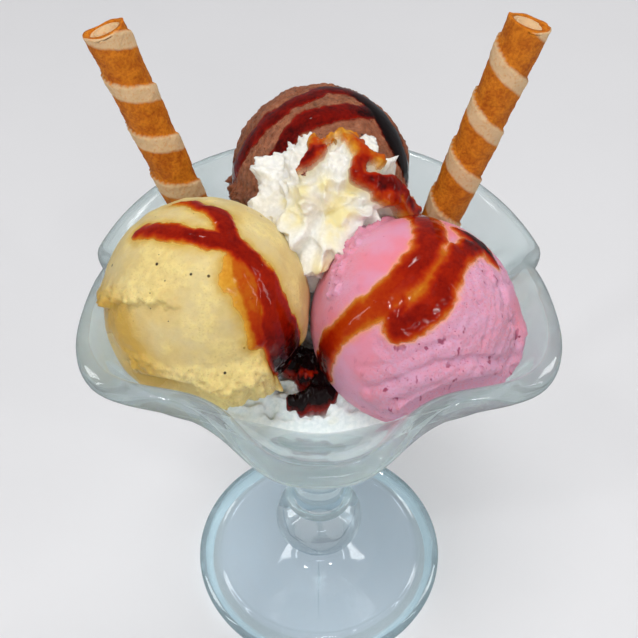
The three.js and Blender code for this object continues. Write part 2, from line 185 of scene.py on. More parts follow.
def smooth_route(stops: np.ndarray, steps: int = 5) -> np.ndarray:
    """Catmull-Rom curve through rows of numbers.

    Args:
        stops: the rows that the curve passes through.
        steps: pieces between one stop and the next.

    Returns:
        The finer rows.
    """
    padded = np.vstack([2 * stops[0] - stops[1], stops, 2 * stops[-1] - stops[-2]])
    rows = []
    for i in range(1, len(padded) - 2):
        before, start, end, after = padded[i - 1 : i + 3]
        for t in np.linspace(0.0, 1.0, steps, endpoint=False):
            rows.append(
                start
                + 0.5 * t * (end - before)
                + t * t * (before - 2.5 * start + 2 * end - 0.5 * after)
                + t**3 * (1.5 * (start - end) + 0.5 * (after - before))
            )
    return np.vstack([*rows, stops[-1]])


def covering(points: np.ndarray, route: np.ndarray, scale: float) -> tuple[np.ndarray, np.ndarray]:
    """How far each point lies inside a band along a route.

    Args:
        points: rows of x, y, z.
        route: rows of x, y, z, half width in millimetres and a carried number.
        scale: millimetres for a unit of the points.

    Returns:
        The millimetres inside the band's edge, below 0 outside it, and the carried number there.
    """
    inside = np.full(len(points), -np.inf)
    carried = np.zeros(len(points))
    for start, end in zip(route[:-1], route[1:]):
        leg = end[:3] - start[:3]
        share = np.clip((points - start[:3]) @ leg / max(float(leg @ leg), 1e-12), 0.0, 1.0)
        foot = start[:3] + share[:, None] * leg
        away = scale * np.linalg.norm(points - foot, axis=1)
        here = start[3] + share * (end[3] - start[3]) - away
        better = here > inside
        inside[better] = here[better]
        carried[better] = (start[4] + share * (end[4] - start[4]))[better]
    return inside, carried


# ---------------------------------------------------------------- meshes


def lathe(stations: int, segments: int) -> bmesh.types.BMesh:
    """A drum of rings, one unit apart and one unit in radius, ready to be placed ring by ring.

    Args:
        stations: number of rings.
        segments: number of faces round a ring.

    Returns:
        The mesh; a vertex's z is its station.
    """
    bm = bmesh.new()
    verts = [bm.verts.new((1.0, 0.0, float(i))) for i in range(stations)]
    edges = [bm.edges.new(pair) for pair in zip(verts[:-1], verts[1:])]
    turn = {"cent": (0, 0, 0), "axis": (0, 0, 1), "angle": 2 * math.pi}
    bmesh.ops.spin(bm, geom=verts + edges, steps=segments, use_merge=True, **turn)
    return bm


def coordinates(bm: bmesh.types.BMesh) -> np.ndarray:
    """The vertices of a mesh, as rows of x, y, z."""
    return np.array([v.co for v in bm.verts], dtype=float).reshape(-1, 3)


def drum_places(bm: bmesh.types.BMesh, segments: int) -> tuple[np.ndarray, np.ndarray]:
    """Finds where each vertex of a drum is.

    Args:
        bm: the drum, as lathe makes it.
        segments: number of faces round a ring.

    Returns:
        Each vertex's segment and its station.
    """
    points = coordinates(bm)
    step = 2 * math.pi / segments
    segment = np.round(np.arctan2(points[:, 1], points[:, 0]) / step).astype(int) % segments
    return segment, np.round(points[:, 2]).astype(int)


def place_vertices(bm: bmesh.types.BMesh, places: np.ndarray) -> None:
    """Moves each vertex of a mesh to its row of x, y, z."""
    for vert, place in zip(bm.verts, places):
        vert.co = place


def write_layer(bm: bmesh.types.BMesh, name: str, values: np.ndarray) -> None:
    """Stores one number for each vertex, which a finish reads as an attribute.

    Args:
        bm: the mesh.
        name: the attribute's name.
        values: the numbers.
    """
    layer = bm.verts.layers.float.new(name)
    for vert, value in zip(bm.verts, values):
        vert[layer] = float(value)


def close_mesh(bm: bmesh.types.BMesh) -> None:
    """Merges doubles and turns the faces outwards."""
    bmesh.ops.remove_doubles(bm, verts=bm.verts, dist=MERGE_DISTANCE)
    bmesh.ops.recalc_face_normals(bm, faces=bm.faces)


def close_shell(bm: bmesh.types.BMesh, inside: np.ndarray, reach: float, thickness: float) -> None:
    """Makes a closed shell of a sheet of sauce, without the faces that lie far past the sauce's edge.

    Args:
        bm: the sheet.
        inside: for each vertex, the millimetres inside the sauce's edge.
        reach: how far past the edge faces are kept, in millimetres.
        thickness: the shell's thickness in millimetres.
    """
    bm.verts.index_update()
    spare = [f for f in bm.faces if max(inside[v.index] for v in f.verts) < -reach]
    bmesh.ops.delete(bm, geom=spare, context="FACES")
    bmesh.ops.solidify(bm, geom=bm.faces[:], thickness=thickness)
    bmesh.ops.recalc_face_normals(bm, faces=bm.faces)


def to_piece(bm: bmesh.types.BMesh, name: str, finish: bpy.types.Material) -> bpy.types.Object:
    """Makes a shown piece of a mesh in millimetres.

    Args:
        bm: the mesh, which is used up.
        name: the piece's name.
        finish: its material.

    Returns:
        The piece, in metres, riding on the part's body.
    """
    bmesh.ops.scale(bm, vec=(METRES, METRES, METRES), verts=bm.verts)
    mesh = bpy.data.meshes.new(name)
    bm.to_mesh(mesh)
    bm.free()
    mesh.shade_smooth()
    mesh.materials.append(finish)
    piece = bpy.data.objects.new(name, mesh)
    bpy.context.scene.collection.objects.link(piece)
    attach(piece, BODY)
    LOG.info("%s: %d faces", name, len(mesh.polygons))
    return piece


# ---------------------------------------------------------------- shader graphs


class Signal:
    """A socket of a material, with arithmetic."""

    def __init__(self, graph: "Graph", socket: bpy.types.NodeSocket) -> None:
        """Wraps a socket of a graph."""
        self.graph = graph
        self.socket = socket

    def _math(self, operation: str, first: Any, second: Any = 0.0) -> "Signal":
        """A Math node on two values or signals."""
        return self.graph.node("ShaderNodeMath", {"operation": operation}, {0: first, 1: second})

    def __add__(self, other: Any) -> "Signal":
        """Sum."""
        return self._math("ADD", self, other)

    __radd__ = __add__

    def __sub__(self, other: Any) -> "Signal":
        """Difference."""
        return self._math("SUBTRACT", self, other)

    def __rsub__(self, other: Any) -> "Signal":
        """Reflected difference."""
        return self._math("SUBTRACT", other, self)

    def __mul__(self, other: Any) -> "Signal":
        """Product."""
        return self._math("MULTIPLY", self, other)

    __rmul__ = __mul__

    def above(self, other: Any) -> "Signal":
        """1 where the signal is over another."""
        return self._math("GREATER_THAN", self, other)

    def larger(self, other: Any) -> "Signal":
        """The larger of the signal and another."""
        return self._math("MAXIMUM", self, other)

    def step(self, low: float, high: float) -> "Signal":
        """Smooth step from 0 at low to 1 at high.

        Args:
            low: where the step starts.
            high: where it ends; it may be below low.

        Returns:
            The stepped signal.
        """
        ends = (low, high, 0.0, 1.0) if low <= high else (high, low, 1.0, 0.0)
        inputs = {0: self, **dict(enumerate(ends, start=1))}
        return self.graph.node("ShaderNodeMapRange", {"interpolation_type": "SMOOTHSTEP"}, inputs)


class Graph:
    """The node tree of one material."""

    def __init__(self, name: str) -> None:
        """Starts a material with an empty tree.

        Args:
            name: the material's name.
        """
        self.material = bpy.data.materials.new(name)
        self.material.use_nodes = True
        self.tree = self.material.node_tree
        self.tree.nodes.clear()
        self.output = self.tree.nodes.new("ShaderNodeOutputMaterial")
        coordinates_node = self.tree.nodes.new("ShaderNodeTexCoord")
        self.place = Signal(self, coordinates_node.outputs["Object"])

    def node(self, kind: str, settings: dict[str, Any], inputs: dict[Any, Any], output: Any = 0) -> Signal:
        """Adds any node.

        Args:
            kind: the node's type.
            settings: its properties; "stops" sets the stops of a colour ramp.
            inputs: a value or a signal for each socket, by name or place.
            output: the socket to hand on.

        Returns:
            The chosen output.
        """
        made = self.tree.nodes.new(kind)
        for key, value in settings.items():
            if key == "stops":
                self._set_stops(made.color_ramp.elements, value)
            else:
                setattr(made, key, value)
        for key, value in inputs.items():
            if isinstance(value, Signal):
                self.tree.links.new(value.socket, made.inputs[key])
            elif isinstance(value, tuple) and len(value) == 3 and made.inputs[key].type == "RGBA":
                made.inputs[key].default_value = (*value, 1.0)
            else:
                made.inputs[key].default_value = value
        return Signal(self, made.outputs[output])

    @staticmethod
    def _set_stops(elements: Any, stops: Sequence[tuple[float, Colour]]) -> None:
        """Gives a ramp its stops.

        Args:
            elements: the stops of the ramp, of which at least one is there.
            stops: position and colour of each.
        """
        while len(elements) < len(stops):
            elements.new(1.0)
        for element, (position, colour) in zip(elements, stops):
            element.position = position
            element.color = (*colour, 1.0)

    def attribute(self, name: str) -> Signal:
        """A number stored on the mesh."""
        return self.node("ShaderNodeAttribute", {"attribute_name": name}, {}, "Fac")

    def stretched(self, scale: tuple[float, float, float]) -> Signal:
        """Object coordinates stretched along the axes."""
        inputs = {"Vector": self.place, "Scale": scale}
        return self.node("ShaderNodeMapping", {"vector_type": "POINT"}, inputs)

    def noise(self, size: float, detail: float = 2.0, place: Signal | None = None) -> Signal:
        """Noise between 0 and 1.

        Args:
            size: size of its patches in millimetres.
            detail: how many finer layers it has.
            place: coordinates to read, or None for the object's own.

        Returns:
            The noise.
        """
        inputs = {"Vector": place or self.place, "Scale": 1.0 / (size * METRES), "Detail": detail}
        return self.node("ShaderNodeTexNoise", {}, inputs)

    def specks(self, spacing: float, radius: float, share: float) -> Signal:
        """Round specks, of which only a share is there.

        Args:
            spacing: distance between places for a speck, in millimetres.
            radius: a speck's radius in millimetres.
            share: share of the places that hold one.

        Returns:
            1 on a speck and 0 off it.
        """
        inputs = {"Vector": self.place, "Scale": 1.0 / (spacing * METRES)}
        distance = self.node("ShaderNodeTexVoronoi", {}, inputs, "Distance")
        cell = self.node("ShaderNodeTexVoronoi", {}, inputs, "Color")
        chance = self.node("ShaderNodeSeparateColor", {}, {0: cell})
        return distance.step(1.25 * radius / spacing, 0.7 * radius / spacing) * chance.above(1.0 - share)

    def blend(self, share: Any, low: Any, high: Any) -> Signal:
        """Colour mixed from two colours by a share."""
        return self.node("ShaderNodeMix", {"data_type": "RGBA"}, {0: share, 6: low, 7: high}, 2)

    def ramp(self, share: Signal, stops: Sequence[tuple[float, Colour]]) -> Signal:
        """Colour read off a ramp."""
        return self.node("ShaderNodeValToRGB", {"stops": stops}, {0: share})

    def relief(self, height: Signal, depth: float) -> Signal:
        """Normal bent by a height of 0 to 1 that goes some millimetres deep."""
        inputs = {"Height": height, "Distance": depth * METRES, "Strength": 1.0}
        return self.node("ShaderNodeBump", {}, inputs)

    def surface(self, inputs: dict[str, Any]) -> bpy.types.Material:
        """Ends the tree in a Principled shader.

        Args:
            inputs: a value or a signal for each socket by name.

        Returns:
            The material.
        """
        shader = self.node("ShaderNodeBsdfPrincipled", {"subsurface_method": "RANDOM_WALK"}, inputs)
        self.tree.links.new(shader.socket, self.output.inputs["Surface"])
        return self.material


# ---------------------------------------------------------------- finishes

STREAK_STRETCH = (1.0, 1.0, 0.4)
ICE_SCATTER = (1.0, 0.6, 0.35)
CREAM_SCATTER = (1.0, 0.9, 0.7)
WAFER_SCATTER = (1.0, 0.5, 0.2)


@dataclass(frozen=True)
class IceCreamFinish:
    """Ice cream: a mottled body with specks, stained where thin sauce has run over it; painted shade darkens
    its pits, and a pale frost, partly painted highlight, lies on its crumbs.
    """

    name: str
    body: Colour
    shade: Colour
    # pale frost on crumbly ice cream; partly painted highlight, as it is palest on the raised grain
    frost_and_highlight: Colour
    fleck: Colour
    fleck_spacing: float
    fleck_radius: float
    fleck_share: float
    stain: Colour
    small_spacing: float = 0.55  # of the small flecks, as a share of the others'
    small_radius: float = 0.4
    small_share: float = 0.5
    streaks: float = 0.0  # strength of the flecks that are drawn out into streaks
    streak_size: float = 2.0
    streak_edges: Span = (0.6, 0.68)
    cluster_size: float = 7.0  # of the streaks' clusters
    cluster_edges: Span = (0.47, 0.58)
    # strength of the painted shade that darkens the pits' floors towards the fleck's colour
    pits: float = 0.2
    pit_size: float = 0.5
    pit_edges: Span = (0.4, 0.28)
    shadow: float = 0.5  # strength of the shade round the pits
    shadow_edges: Span = (0.46, 0.3)
    cloud_size: float = 11.0
    cloud_edges: Span = (0.38, 0.66)
    frost_size: float = 1.5
    frost_edges: Span = (0.3, 0.72)
    frost_least: float = 0.4  # on crumbly ice cream
    frost_patches: float = 0.5  # what its patches add; they lie on the raised grain, as painted highlight
    grain_depth: float = 0.16
    smooth_grain: float = 0.15  # share of the grain that smooth ice cream has
    roughness: float = 0.42
    crumbly_roughness: float = 0.16  # what crumbs add to it
    wetness: float = 0.3  # what a stain takes off it
    scatter: float = 0.3
    scatter_depth: float = 2.2
    specular: float = 0.42

    def make(self) -> bpy.types.Material:
        """Builds the material.

        Returns:
            The material; it reads the attributes "rough" and "stain".
        """
        graph = Graph(self.name)
        rough = graph.attribute("rough")
        stain = graph.attribute("stain")
        cloud = graph.noise(self.cloud_size, 3.0)
        fine = graph.noise(self.frost_size, 4.0)
        pits = graph.noise(self.pit_size, 3.0)
        colour = graph.blend(cloud.step(*self.cloud_edges), self.body, self.shade)
        # frost on crumbly ice cream, palest where the fine noise that raises the bump relief is high: partly
        # painted highlight on the raised grain
        frost_and_highlight = fine.step(*self.frost_edges) * self.frost_patches + self.frost_least
        colour = graph.blend(rough * frost_and_highlight, colour, self.frost_and_highlight)
        # painted shade: crumbly ice cream is darker round its pits and in their floors, where the bump
        # relief dips
        colour = graph.blend(rough * pits.step(*self.shadow_edges) * self.shadow, colour, self.shade)
        colour = graph.blend(rough * pits.step(*self.pit_edges) * self.pits, colour, self.fleck)
        flecks = graph.specks(self.fleck_spacing, self.fleck_radius, self.fleck_share)
        drawn = graph.noise(self.streak_size, 2.0, graph.stretched(STREAK_STRETCH))
        clusters = graph.noise(self.cluster_size, 2.0).step(*self.cluster_edges)
        drawn = drawn.step(*self.streak_edges) * clusters * rough * self.streaks
        small = graph.specks(
            self.small_spacing * self.fleck_spacing,
            self.small_radius * self.fleck_radius,
            self.small_share * self.fleck_share,
        )
        colour = graph.blend(flecks.larger(drawn).larger(small), colour, self.fleck)
        colour = graph.blend(stain, colour, self.stain)
        height = fine * 0.7 + pits * 0.5
        share = rough * (1.0 - self.smooth_grain) + self.smooth_grain
        return graph.surface(
            {
                "Base Color": colour,
                "Roughness": (self.roughness + rough * self.crumbly_roughness) - stain * self.wetness,
                "Normal": graph.relief(height * share, self.grain_depth),
                "Subsurface Weight": self.scatter,
                "Subsurface Radius": ICE_SCATTER,
                "Subsurface Scale": self.scatter_depth * METRES,
                "Specular IOR Level": self.specular,
            }
        )


@dataclass(frozen=True)
class SauceFinish:
    """Glossy caramel sauce, amber where it is thin and nearly black where it is deep."""

    name: str
    stops: tuple[tuple[float, Colour], ...]
    cloud_size: float = 4.5
    fine_size: float = 0.9
    ripple_size: float = 5.0
    bubble_spacing: float = 1.9
    bubble_radius: float = 0.3
    bubble_share: float = 0.14
    bubble_height: float = 0.4
    relief_depth: float = 0.26
    cloud_depth: float = 0.28  # how much its clouds change its tint
    fine_depth: float = 0.2
    roughness: float = 0.04
    cloud_roughness: float = 0.08
    edge_roughness: float = 0.5  # added where it turns see-through
    refraction: float = 1.4
    specular: float = 0.3

    def make(self) -> bpy.types.Material:
        """Builds the material.

        Returns:
            The material; it reads the attributes "tint" and "cover".
        """
        graph = Graph(self.name)
        tint = graph.attribute("tint")
        cover = graph.attribute("cover")
        cloud = graph.noise(self.cloud_size, 3.0)
        fine = graph.noise(self.fine_size, 3.0)
        depth = tint + (cloud - 0.5) * self.cloud_depth + (fine - 0.5) * self.fine_depth
        ripple = graph.noise(self.ripple_size, 2.0)
        bubbles = graph.specks(self.bubble_spacing, self.bubble_radius, self.bubble_share)
        dull = cloud * self.cloud_roughness + (1.0 - cover) * self.edge_roughness + self.roughness
        return graph.surface(
            {
                "Base Color": graph.ramp(depth, self.stops),
                "Roughness": dull,
                "Normal": graph.relief(ripple + bubbles * self.bubble_height, self.relief_depth),
                "Alpha": cover,
                "IOR": self.refraction,
                "Specular IOR Level": self.specular,
            }
        )


@dataclass(frozen=True)
class CreamFinish:
    """White cream with pale yellow patches, and painted shade in the hollows of its fine relief."""

    name: str
    body: Colour
    shade: Colour
    patch: Colour
    patch_share: float
    cloud_size: float = 7.0
    cloud_edges: Span = (0.62, 0.8)
    fine_size: float = 1.1
    fine_edges: Span = (0.35, 0.7)
    relief_depth: float = 0.2
    roughness: float = 0.35
    fine_roughness: float = 0.15
    scatter: float = 0.35
    scatter_depth: float = 2.0

    def make(self) -> bpy.types.Material:
        """Builds the material.

        Returns:
            The material; it reads the attribute "stain".
        """
        graph = Graph(self.name)
        cloud = graph.noise(self.cloud_size, 3.0)
        fine = graph.noise(self.fine_size, 4.0)
        stain = graph.attribute("stain")
        # painted shade: the cream takes its shade colour where the fine noise, which also makes its bump
        # relief, is low
        colour = graph.blend(fine.step(*self.fine_edges), self.shade, self.body)
        colour = graph.blend(cloud.step(*self.cloud_edges) * self.patch_share, colour, self.patch)
        colour = graph.blend(stain, colour, self.patch)
        return graph.surface(
            {
                "Base Color": colour,
                "Roughness": fine * self.fine_roughness + self.roughness,
                "Normal": graph.relief(fine, self.relief_depth),
                "Subsurface Weight": self.scatter,
                "Subsurface Radius": CREAM_SCATTER,
                "Subsurface Scale": self.scatter_depth * METRES,
            }
        )


@dataclass(frozen=True)
class WaferFinish:
    """Baked wafer with a pale and a browned band wound round it."""

    name: str
    baked: Colour
    dark: Colour
    pale: Colour
    pale_share: float = 0.31  # of a turn
    pale_blur: float = 0.035  # turns over which a pale band's edge fades
    pale_wander: float = 0.09  # turns by which its edge strays
    blotch_size: float = 3.2
    blotch_height: float = 0.4
    pore_size: float = 0.75
    pore_height: float = 0.6
    toast_edges: Span = (0.36, 0.6)
    pore_edges: Span = (0.5, 0.72)
    pore_share: float = 0.35  # strength of the pores in a pale band
    relief_depth: float = 0.35
    roughness: float = 0.6
    pore_roughness: float = 0.2
    specular: float = 0.25
    scatter: float = 0.12
    scatter_depth: float = 1.0

    def make(self) -> bpy.types.Material:
        """Builds the material.

        Returns:
            The material; it reads the attribute "band", the turns to the nearest pale band's middle.
        """
        graph = Graph(self.name)
        band = graph.attribute("band")
        blotch = graph.noise(self.blotch_size, 4.0)
        pores = graph.noise(self.pore_size, 3.0)
        edge = 0.5 * self.pale_share
        strayed = band + (blotch - 0.5) * self.pale_wander
        pale = strayed.step(edge + self.pale_blur, edge - self.pale_blur)
        toast = blotch.step(*self.toast_edges) * 0.5 + pores.step(*self.toast_edges) * 0.5
        toasted = graph.blend(toast, self.dark, self.baked)
        light = graph.blend(pores.step(*self.pore_edges) * self.pore_share, self.pale, self.baked)
        height = pores * self.pore_height + blotch * self.blotch_height
        return graph.surface(
            {
                "Base Color": graph.blend(pale, toasted, light),
                "Roughness": pores * self.pore_roughness + self.roughness,
                "Specular IOR Level": self.specular,
                "Normal": graph.relief(height, self.relief_depth),
                "Subsurface Weight": self.scatter,
                "Subsurface Radius": WAFER_SCATTER,
                "Subsurface Scale": self.scatter_depth * METRES,
            }
        )


@dataclass(frozen=True)
class GlassFinish:
    """Thick pressed glass, faintly milky, with a grey-blue tint; painted shade makes it darker and greener
    where it is seen at a slant and on the foot's brim.
    """

    name: str
    tint: Colour
    milk: Colour
    # darker grey-green painted shade for a slant and the foot's brim, standing in for the dark lines that
    # refraction gives
    edge: Colour
    foot: Colour
    foot_top: float = 46.0  # height up to which it has the foot's colour, in millimetres
    brim: Span = (35.5, 39.5)  # radii over which the foot's brim takes the edge's colour, as painted shade
    brim_share: float = 0.55  # strength of the edge's colour on the brim
    slant_share: float = 0.9  # its strength where the glass is seen at a slant
    slant_blend: float = 0.3
    clearness: float = 0.85
    body: float = 0.66  # share of the light that doesn't pass straight through
    slant_body: float = 0.3  # what a slant adds to it
    foot_body: float = 0.12  # what the foot adds to it
    cloud_size: float = 22.0
    cloud_edges: Span = (0.35, 0.7)
    wave_size: float = 15.0
    wave_depth: float = 0.9
    roughness: float = 0.03
    cloud_roughness: float = 0.04
    refraction: float = 1.5
    coat: float = 0.6
    coat_roughness: float = 0.02

    def make(self) -> bpy.types.Material:
        """Builds the material.

        Returns:
            The material.
        """
        graph = Graph(self.name)
        cloud = graph.noise(self.cloud_size, 2.0)
        waves = graph.noise(self.wave_size, 1.0)
        across, deep, height = (
            graph.node("ShaderNodeSeparateXYZ", {}, {0: graph.place}, axis) for axis in ("X", "Y", "Z")
        )
        low = height.step(self.foot_top * METRES, 0.5 * self.foot_top * METRES)
        inner, outer = ((radius * METRES) ** 2 for radius in self.brim)
        brim = (across * across + deep * deep).step(inner, outer)
        slant = graph.node("ShaderNodeLayerWeight", {}, {"Blend": self.slant_blend}, "Facing")
        colour = graph.blend(cloud.step(*self.cloud_edges), self.tint, self.milk)
        colour = graph.blend(low, colour, self.foot)
        # painted shade: the glass takes the edge's darker colour on the foot's brim and where it is seen at
        # a slant
        colour = graph.blend(low * brim * self.brim_share, colour, self.edge)
        colour = graph.blend(slant * self.slant_share, colour, self.edge)
        return graph.surface(
            {
                "Base Color": colour,
                "Roughness": cloud * self.cloud_roughness + self.roughness,
                "Normal": graph.relief(waves, self.wave_depth),
                "IOR": self.refraction,
                "Transmission Weight": self.clearness,
                "Coat Weight": self.coat,
                "Coat Roughness": self.coat_roughness,
                "Alpha": slant * self.slant_body + low * self.foot_body + self.body,
            }
        )


@dataclass(frozen=True)
class FloorFinish:
    """Plain pale floor."""

    name: str = "pale_floor"
    colour: Colour = (0.77, 0.76, 0.77)
    dimming: float = 0.97  # brightness of its dim clouds
    cloud_size: float = 60.0
    roughness: float = 0.55

    def make(self) -> bpy.types.Material:
        """Builds the material.

        Returns:
            The material.
        """
        graph = Graph(self.name)
        cloud = graph.noise(self.cloud_size, 2.0)
        dim = tuple(self.dimming * c for c in self.colour)
        colour = graph.blend(cloud, self.colour, dim)
        return graph.surface({"Base Color": colour, "Roughness": self.roughness})


CARAMEL = (
    (0.0, (0.72, 0.37, 0.045)),
    (0.12, (0.60, 0.25, 0.02)),
    (0.26, (0.50, 0.13, 0.006)),
    (0.45, (0.43, 0.042, 0.002)),
    (0.65, (0.33, 0.012, 0.001)),
    (0.8, (0.19, 0.004, 0.001)),
    (0.94, (0.025, 0.001, 0.001)),
    (1.0, (0.005, 0.001, 0.001)),
)


class Finish(Enum):
    """Every finish of the sundae."""

    GLASS = GlassFinish(
        "pressed_glass",
        tint=(0.64, 0.76, 0.76),
        milk=(0.79, 0.89, 0.90),
        edge=(0.33, 0.45, 0.46),
        foot=(0.50, 0.675, 0.80),
    )
    VANILLA = IceCreamFinish(
        "churned_vanilla",
        body=(0.64, 0.51, 0.265),
        shade=(0.63, 0.46, 0.18),
        frost_and_highlight=(0.90, 0.73, 0.29),
        fleck=(0.03, 0.015, 0.008),
        fleck_spacing=4.1,
        fleck_radius=0.38,
        fleck_share=0.7,
        # also the colour below the ledge, where it is partly painted shade
        stain=(0.58, 0.34, 0.04),
        pits=0.12,
        grain_depth=0.42,
    )
    STRAWBERRY = IceCreamFinish(
        "churned_strawberry",
        body=(0.79, 0.225, 0.285),
        shade=(0.73, 0.31, 0.44),
        frost_and_highlight=(0.66, 0.38, 0.53),
        fleck=(0.30, 0.02, 0.08),
        fleck_spacing=2.6,
        fleck_radius=0.34,
        fleck_share=0.14,
        stain=(0.80, 0.36, 0.12),
        streaks=0.85,
        pits=0.45,
        grain_depth=0.34,
        frost_size=0.8,
    )
    CHOCOLATE = IceCreamFinish(
        "churned_chocolate",
        body=(0.18, 0.046, 0.018),
        shade=(0.06, 0.018, 0.009),
        frost_and_highlight=(0.49, 0.195, 0.10),
        pits=0.5,
        fleck=(0.05, 0.012, 0.006),
        fleck_spacing=3.0,
        fleck_radius=0.45,
        fleck_share=0.25,
        stain=(0.16, 0.012, 0.003),
        grain_depth=0.6,
        roughness=0.2,
    )
    CREAM = CreamFinish("poured_cream", (0.86, 0.91, 0.90), (0.73, 0.80, 0.80), (0.84, 0.82, 0.62), 0.3)
    WHIPPED = CreamFinish("whipped_cream", (0.90, 0.88, 0.82), (0.80, 0.78, 0.72), (0.88, 0.78, 0.42), 0.7)
    WAFER = WaferFinish("baked_wafer", (0.66, 0.205, 0.012), (0.41, 0.09, 0.004), (0.73, 0.50, 0.28))
    SAUCE = SauceFinish("caramel_sauce", CARAMEL)
    FLOOR = FloorFinish()

    def material(self) -> bpy.types.Material:
        """The finish's material, made at its first use."""
        return bpy.data.materials.get(self.value.name) or self.value.make()


# ---------------------------------------------------------------- glass dish


@dataclass(frozen=True)
class Dish:
    """The footed dish. Its rim is a wave that dips at the front and at each side."""

    segments: int = 192
    foot_radius: float = 45.0
    foot_band_width: float = 8.0
    foot_band_height: float = 5.4
    foot_dome_height: float = 14.0
    knob_radius: float = 15.5
    knob_height: float = 24.0
    neck_radius: float = 9.0
    neck_top: float = 56.0
    bowl_floor: float = 63.5
    thickness: float = 3.7
    lip_radius: float = 3.2
    front_dip_spread: float = 23.0
    front_spout_spread: float = 18.0
    front_spout_reach: float = 7.0
    corner_turn: float = 54.0
    corner_front_spread: float = 15.5
    corner_side_spread: float = 22.0
    corner_reach: float = 11.0
    side_dip_turn: float = 105.0
    side_dip_front_spread: float = 16.0
    side_dip_back_spread: float = 28.0
    back_turns: Span = (91.0, 104.0)  # turns over which the lip moves out to the back
    flank_radius: float = 56.3
    back_radius: float = 62.4
    dip_height: float = 141.2
    corner_rise: float = 8.1
    back_rise: float = 1.6
    wall_at_dip: tuple[tuple[float, float], ...] = (
        (6, 64), (13, 70), (20, 79), (26, 90), (30.5, 101), (34.5, 112), (38, 122), (42, 129.5),
        (48.5, 134.5), (55, 138),
    )  # fmt: skip
    wall_at_lobe: tuple[tuple[float, float], ...] = (
        (6, 64), (13, 69.5), (20, 78), (26, 89), (31, 100), (35.5, 110.5), (41, 120), (48, 129),
        (55, 137), (59.5, 143.3),
    )  # fmt: skip
    lip_at_dip: tuple[float, float] = (63.3, 141.2)
    lip_at_lobe: tuple[float, float] = (66.5, 149.3)
    wall_start: int = 4  # the wall's point from which it is drawn out to the rim
    bead_turns: tuple[float, ...] = (-85, -42, 0, 42, 85)  # degrees round the lip's bead
    knob_tilts: tuple[float, ...] = (-58, -32, -8, 16, 40, 62)  # degrees up and down the knob
    knob_flatness: float = 0.85
    lip_overlap: float = 1.0  # how far the lip's inside reaches down over the wall
    flare: float = 0.9  # how fast the room over the lip widens

    def lip(self, angle: np.ndarray) -> tuple[np.ndarray, np.ndarray, np.ndarray]:
        """Middle of the lip.

        Args:
            angle: angles round +Z in radians.

        Returns:
            Its radius, its height and how much of a lobe the wall is there.
        """
        aside = np.abs(np.degrees(angle) + 90.0) % 360.0
        turn = np.minimum(aside, 360.0 - aside)
        in_front = turn < self.side_dip_turn
        front_dip = bump(turn, self.front_dip_spread, 3)
        side_spread = np.where(in_front, self.side_dip_front_spread, self.side_dip_back_spread)
        share = 1.0 - np.maximum(front_dip, bump(turn - self.side_dip_turn, side_spread))
        corner_spread = np.where(turn < self.corner_turn, self.corner_front_spread, self.corner_side_spread)
        backward = smoothstep(turn, *self.back_turns)
        radius = self.flank_radius + backward * (self.back_radius - self.flank_radius)
        radius = radius + self.corner_reach * bump(turn - self.corner_turn, corner_spread)
        radius = radius + self.front_spout_reach * bump(turn, self.front_spout_spread, 3)
        height = self.dip_height + share * np.where(in_front, self.corner_rise, self.back_rise)
        return radius, height, share

    def wall(self, angle: np.ndarray) -> np.ndarray:
        """Inside of the bowl from its floor to its lip.

        Args:
            angle: angles round +Z in radians.

        Returns:
            For each angle, rows of radius and height.
        """
        radius, height, share = self.lip(angle)
        low, high = np.array(self.wall_at_dip), np.array(self.wall_at_lobe)
        low_lip, high_lip = np.array(self.lip_at_dip), np.array(self.lip_at_lobe)
        part = share[:, None, None]
        pull = np.maximum(0.0, (np.arange(len(low)) - self.wall_start) / (len(low) - self.wall_start))
        out = np.stack([radius, height], axis=1) - (low_lip + share[:, None] * (high_lip - low_lip))
        return low + part * (high - low) + pull[None, :, None] * out[:, None, :]

    def stem(self) -> np.ndarray:
        """Outline of the foot, the knob, the ring over it and the neck.

        Returns:
            Rows of radius and height.
        """
        edge = self.foot_radius
        inside = edge - self.foot_band_width
        band = [
            (0, 0), (edge - 4.5, 0), (edge - 1.3, 0.9), (edge, 2.8), (edge - 0.7, 4.6),
            (edge - 2.8, self.foot_band_height), (inside + 1.8, 4.7), (inside + 0.7, 4.0),
        ]  # fmt: skip
        dome = [
            (inside - 0.1, 4.5), (inside - 0.9, 4.9), (inside - 1.7, 4.5), (inside - 3.2, 4.6),
            (inside - 10, 5.8), (inside - 18, 8.2), (12, 11.4),
        ]  # fmt: skip
        half = 0.5 * self.knob_height
        middle = self.foot_dome_height + half
        leans = [math.radians(tilt) for tilt in self.knob_tilts]
        knob = [
            (self.knob_radius * math.cos(lean) ** self.knob_flatness, middle + half * math.sin(lean))
            for lean in leans
        ]
        top = middle + half
        ring = [(9.2, top - 0.2), (11.2, top + 0.6), (11.8, top + 1.9), (11.0, top + 3.2), (8.9, top + 3.9)]
        neck = [(self.neck_radius, self.neck_top - 3), (self.neck_radius + 2, self.neck_top + 3.4)]
        return np.array([*band, *dome, *knob, *ring, *neck], dtype=float)

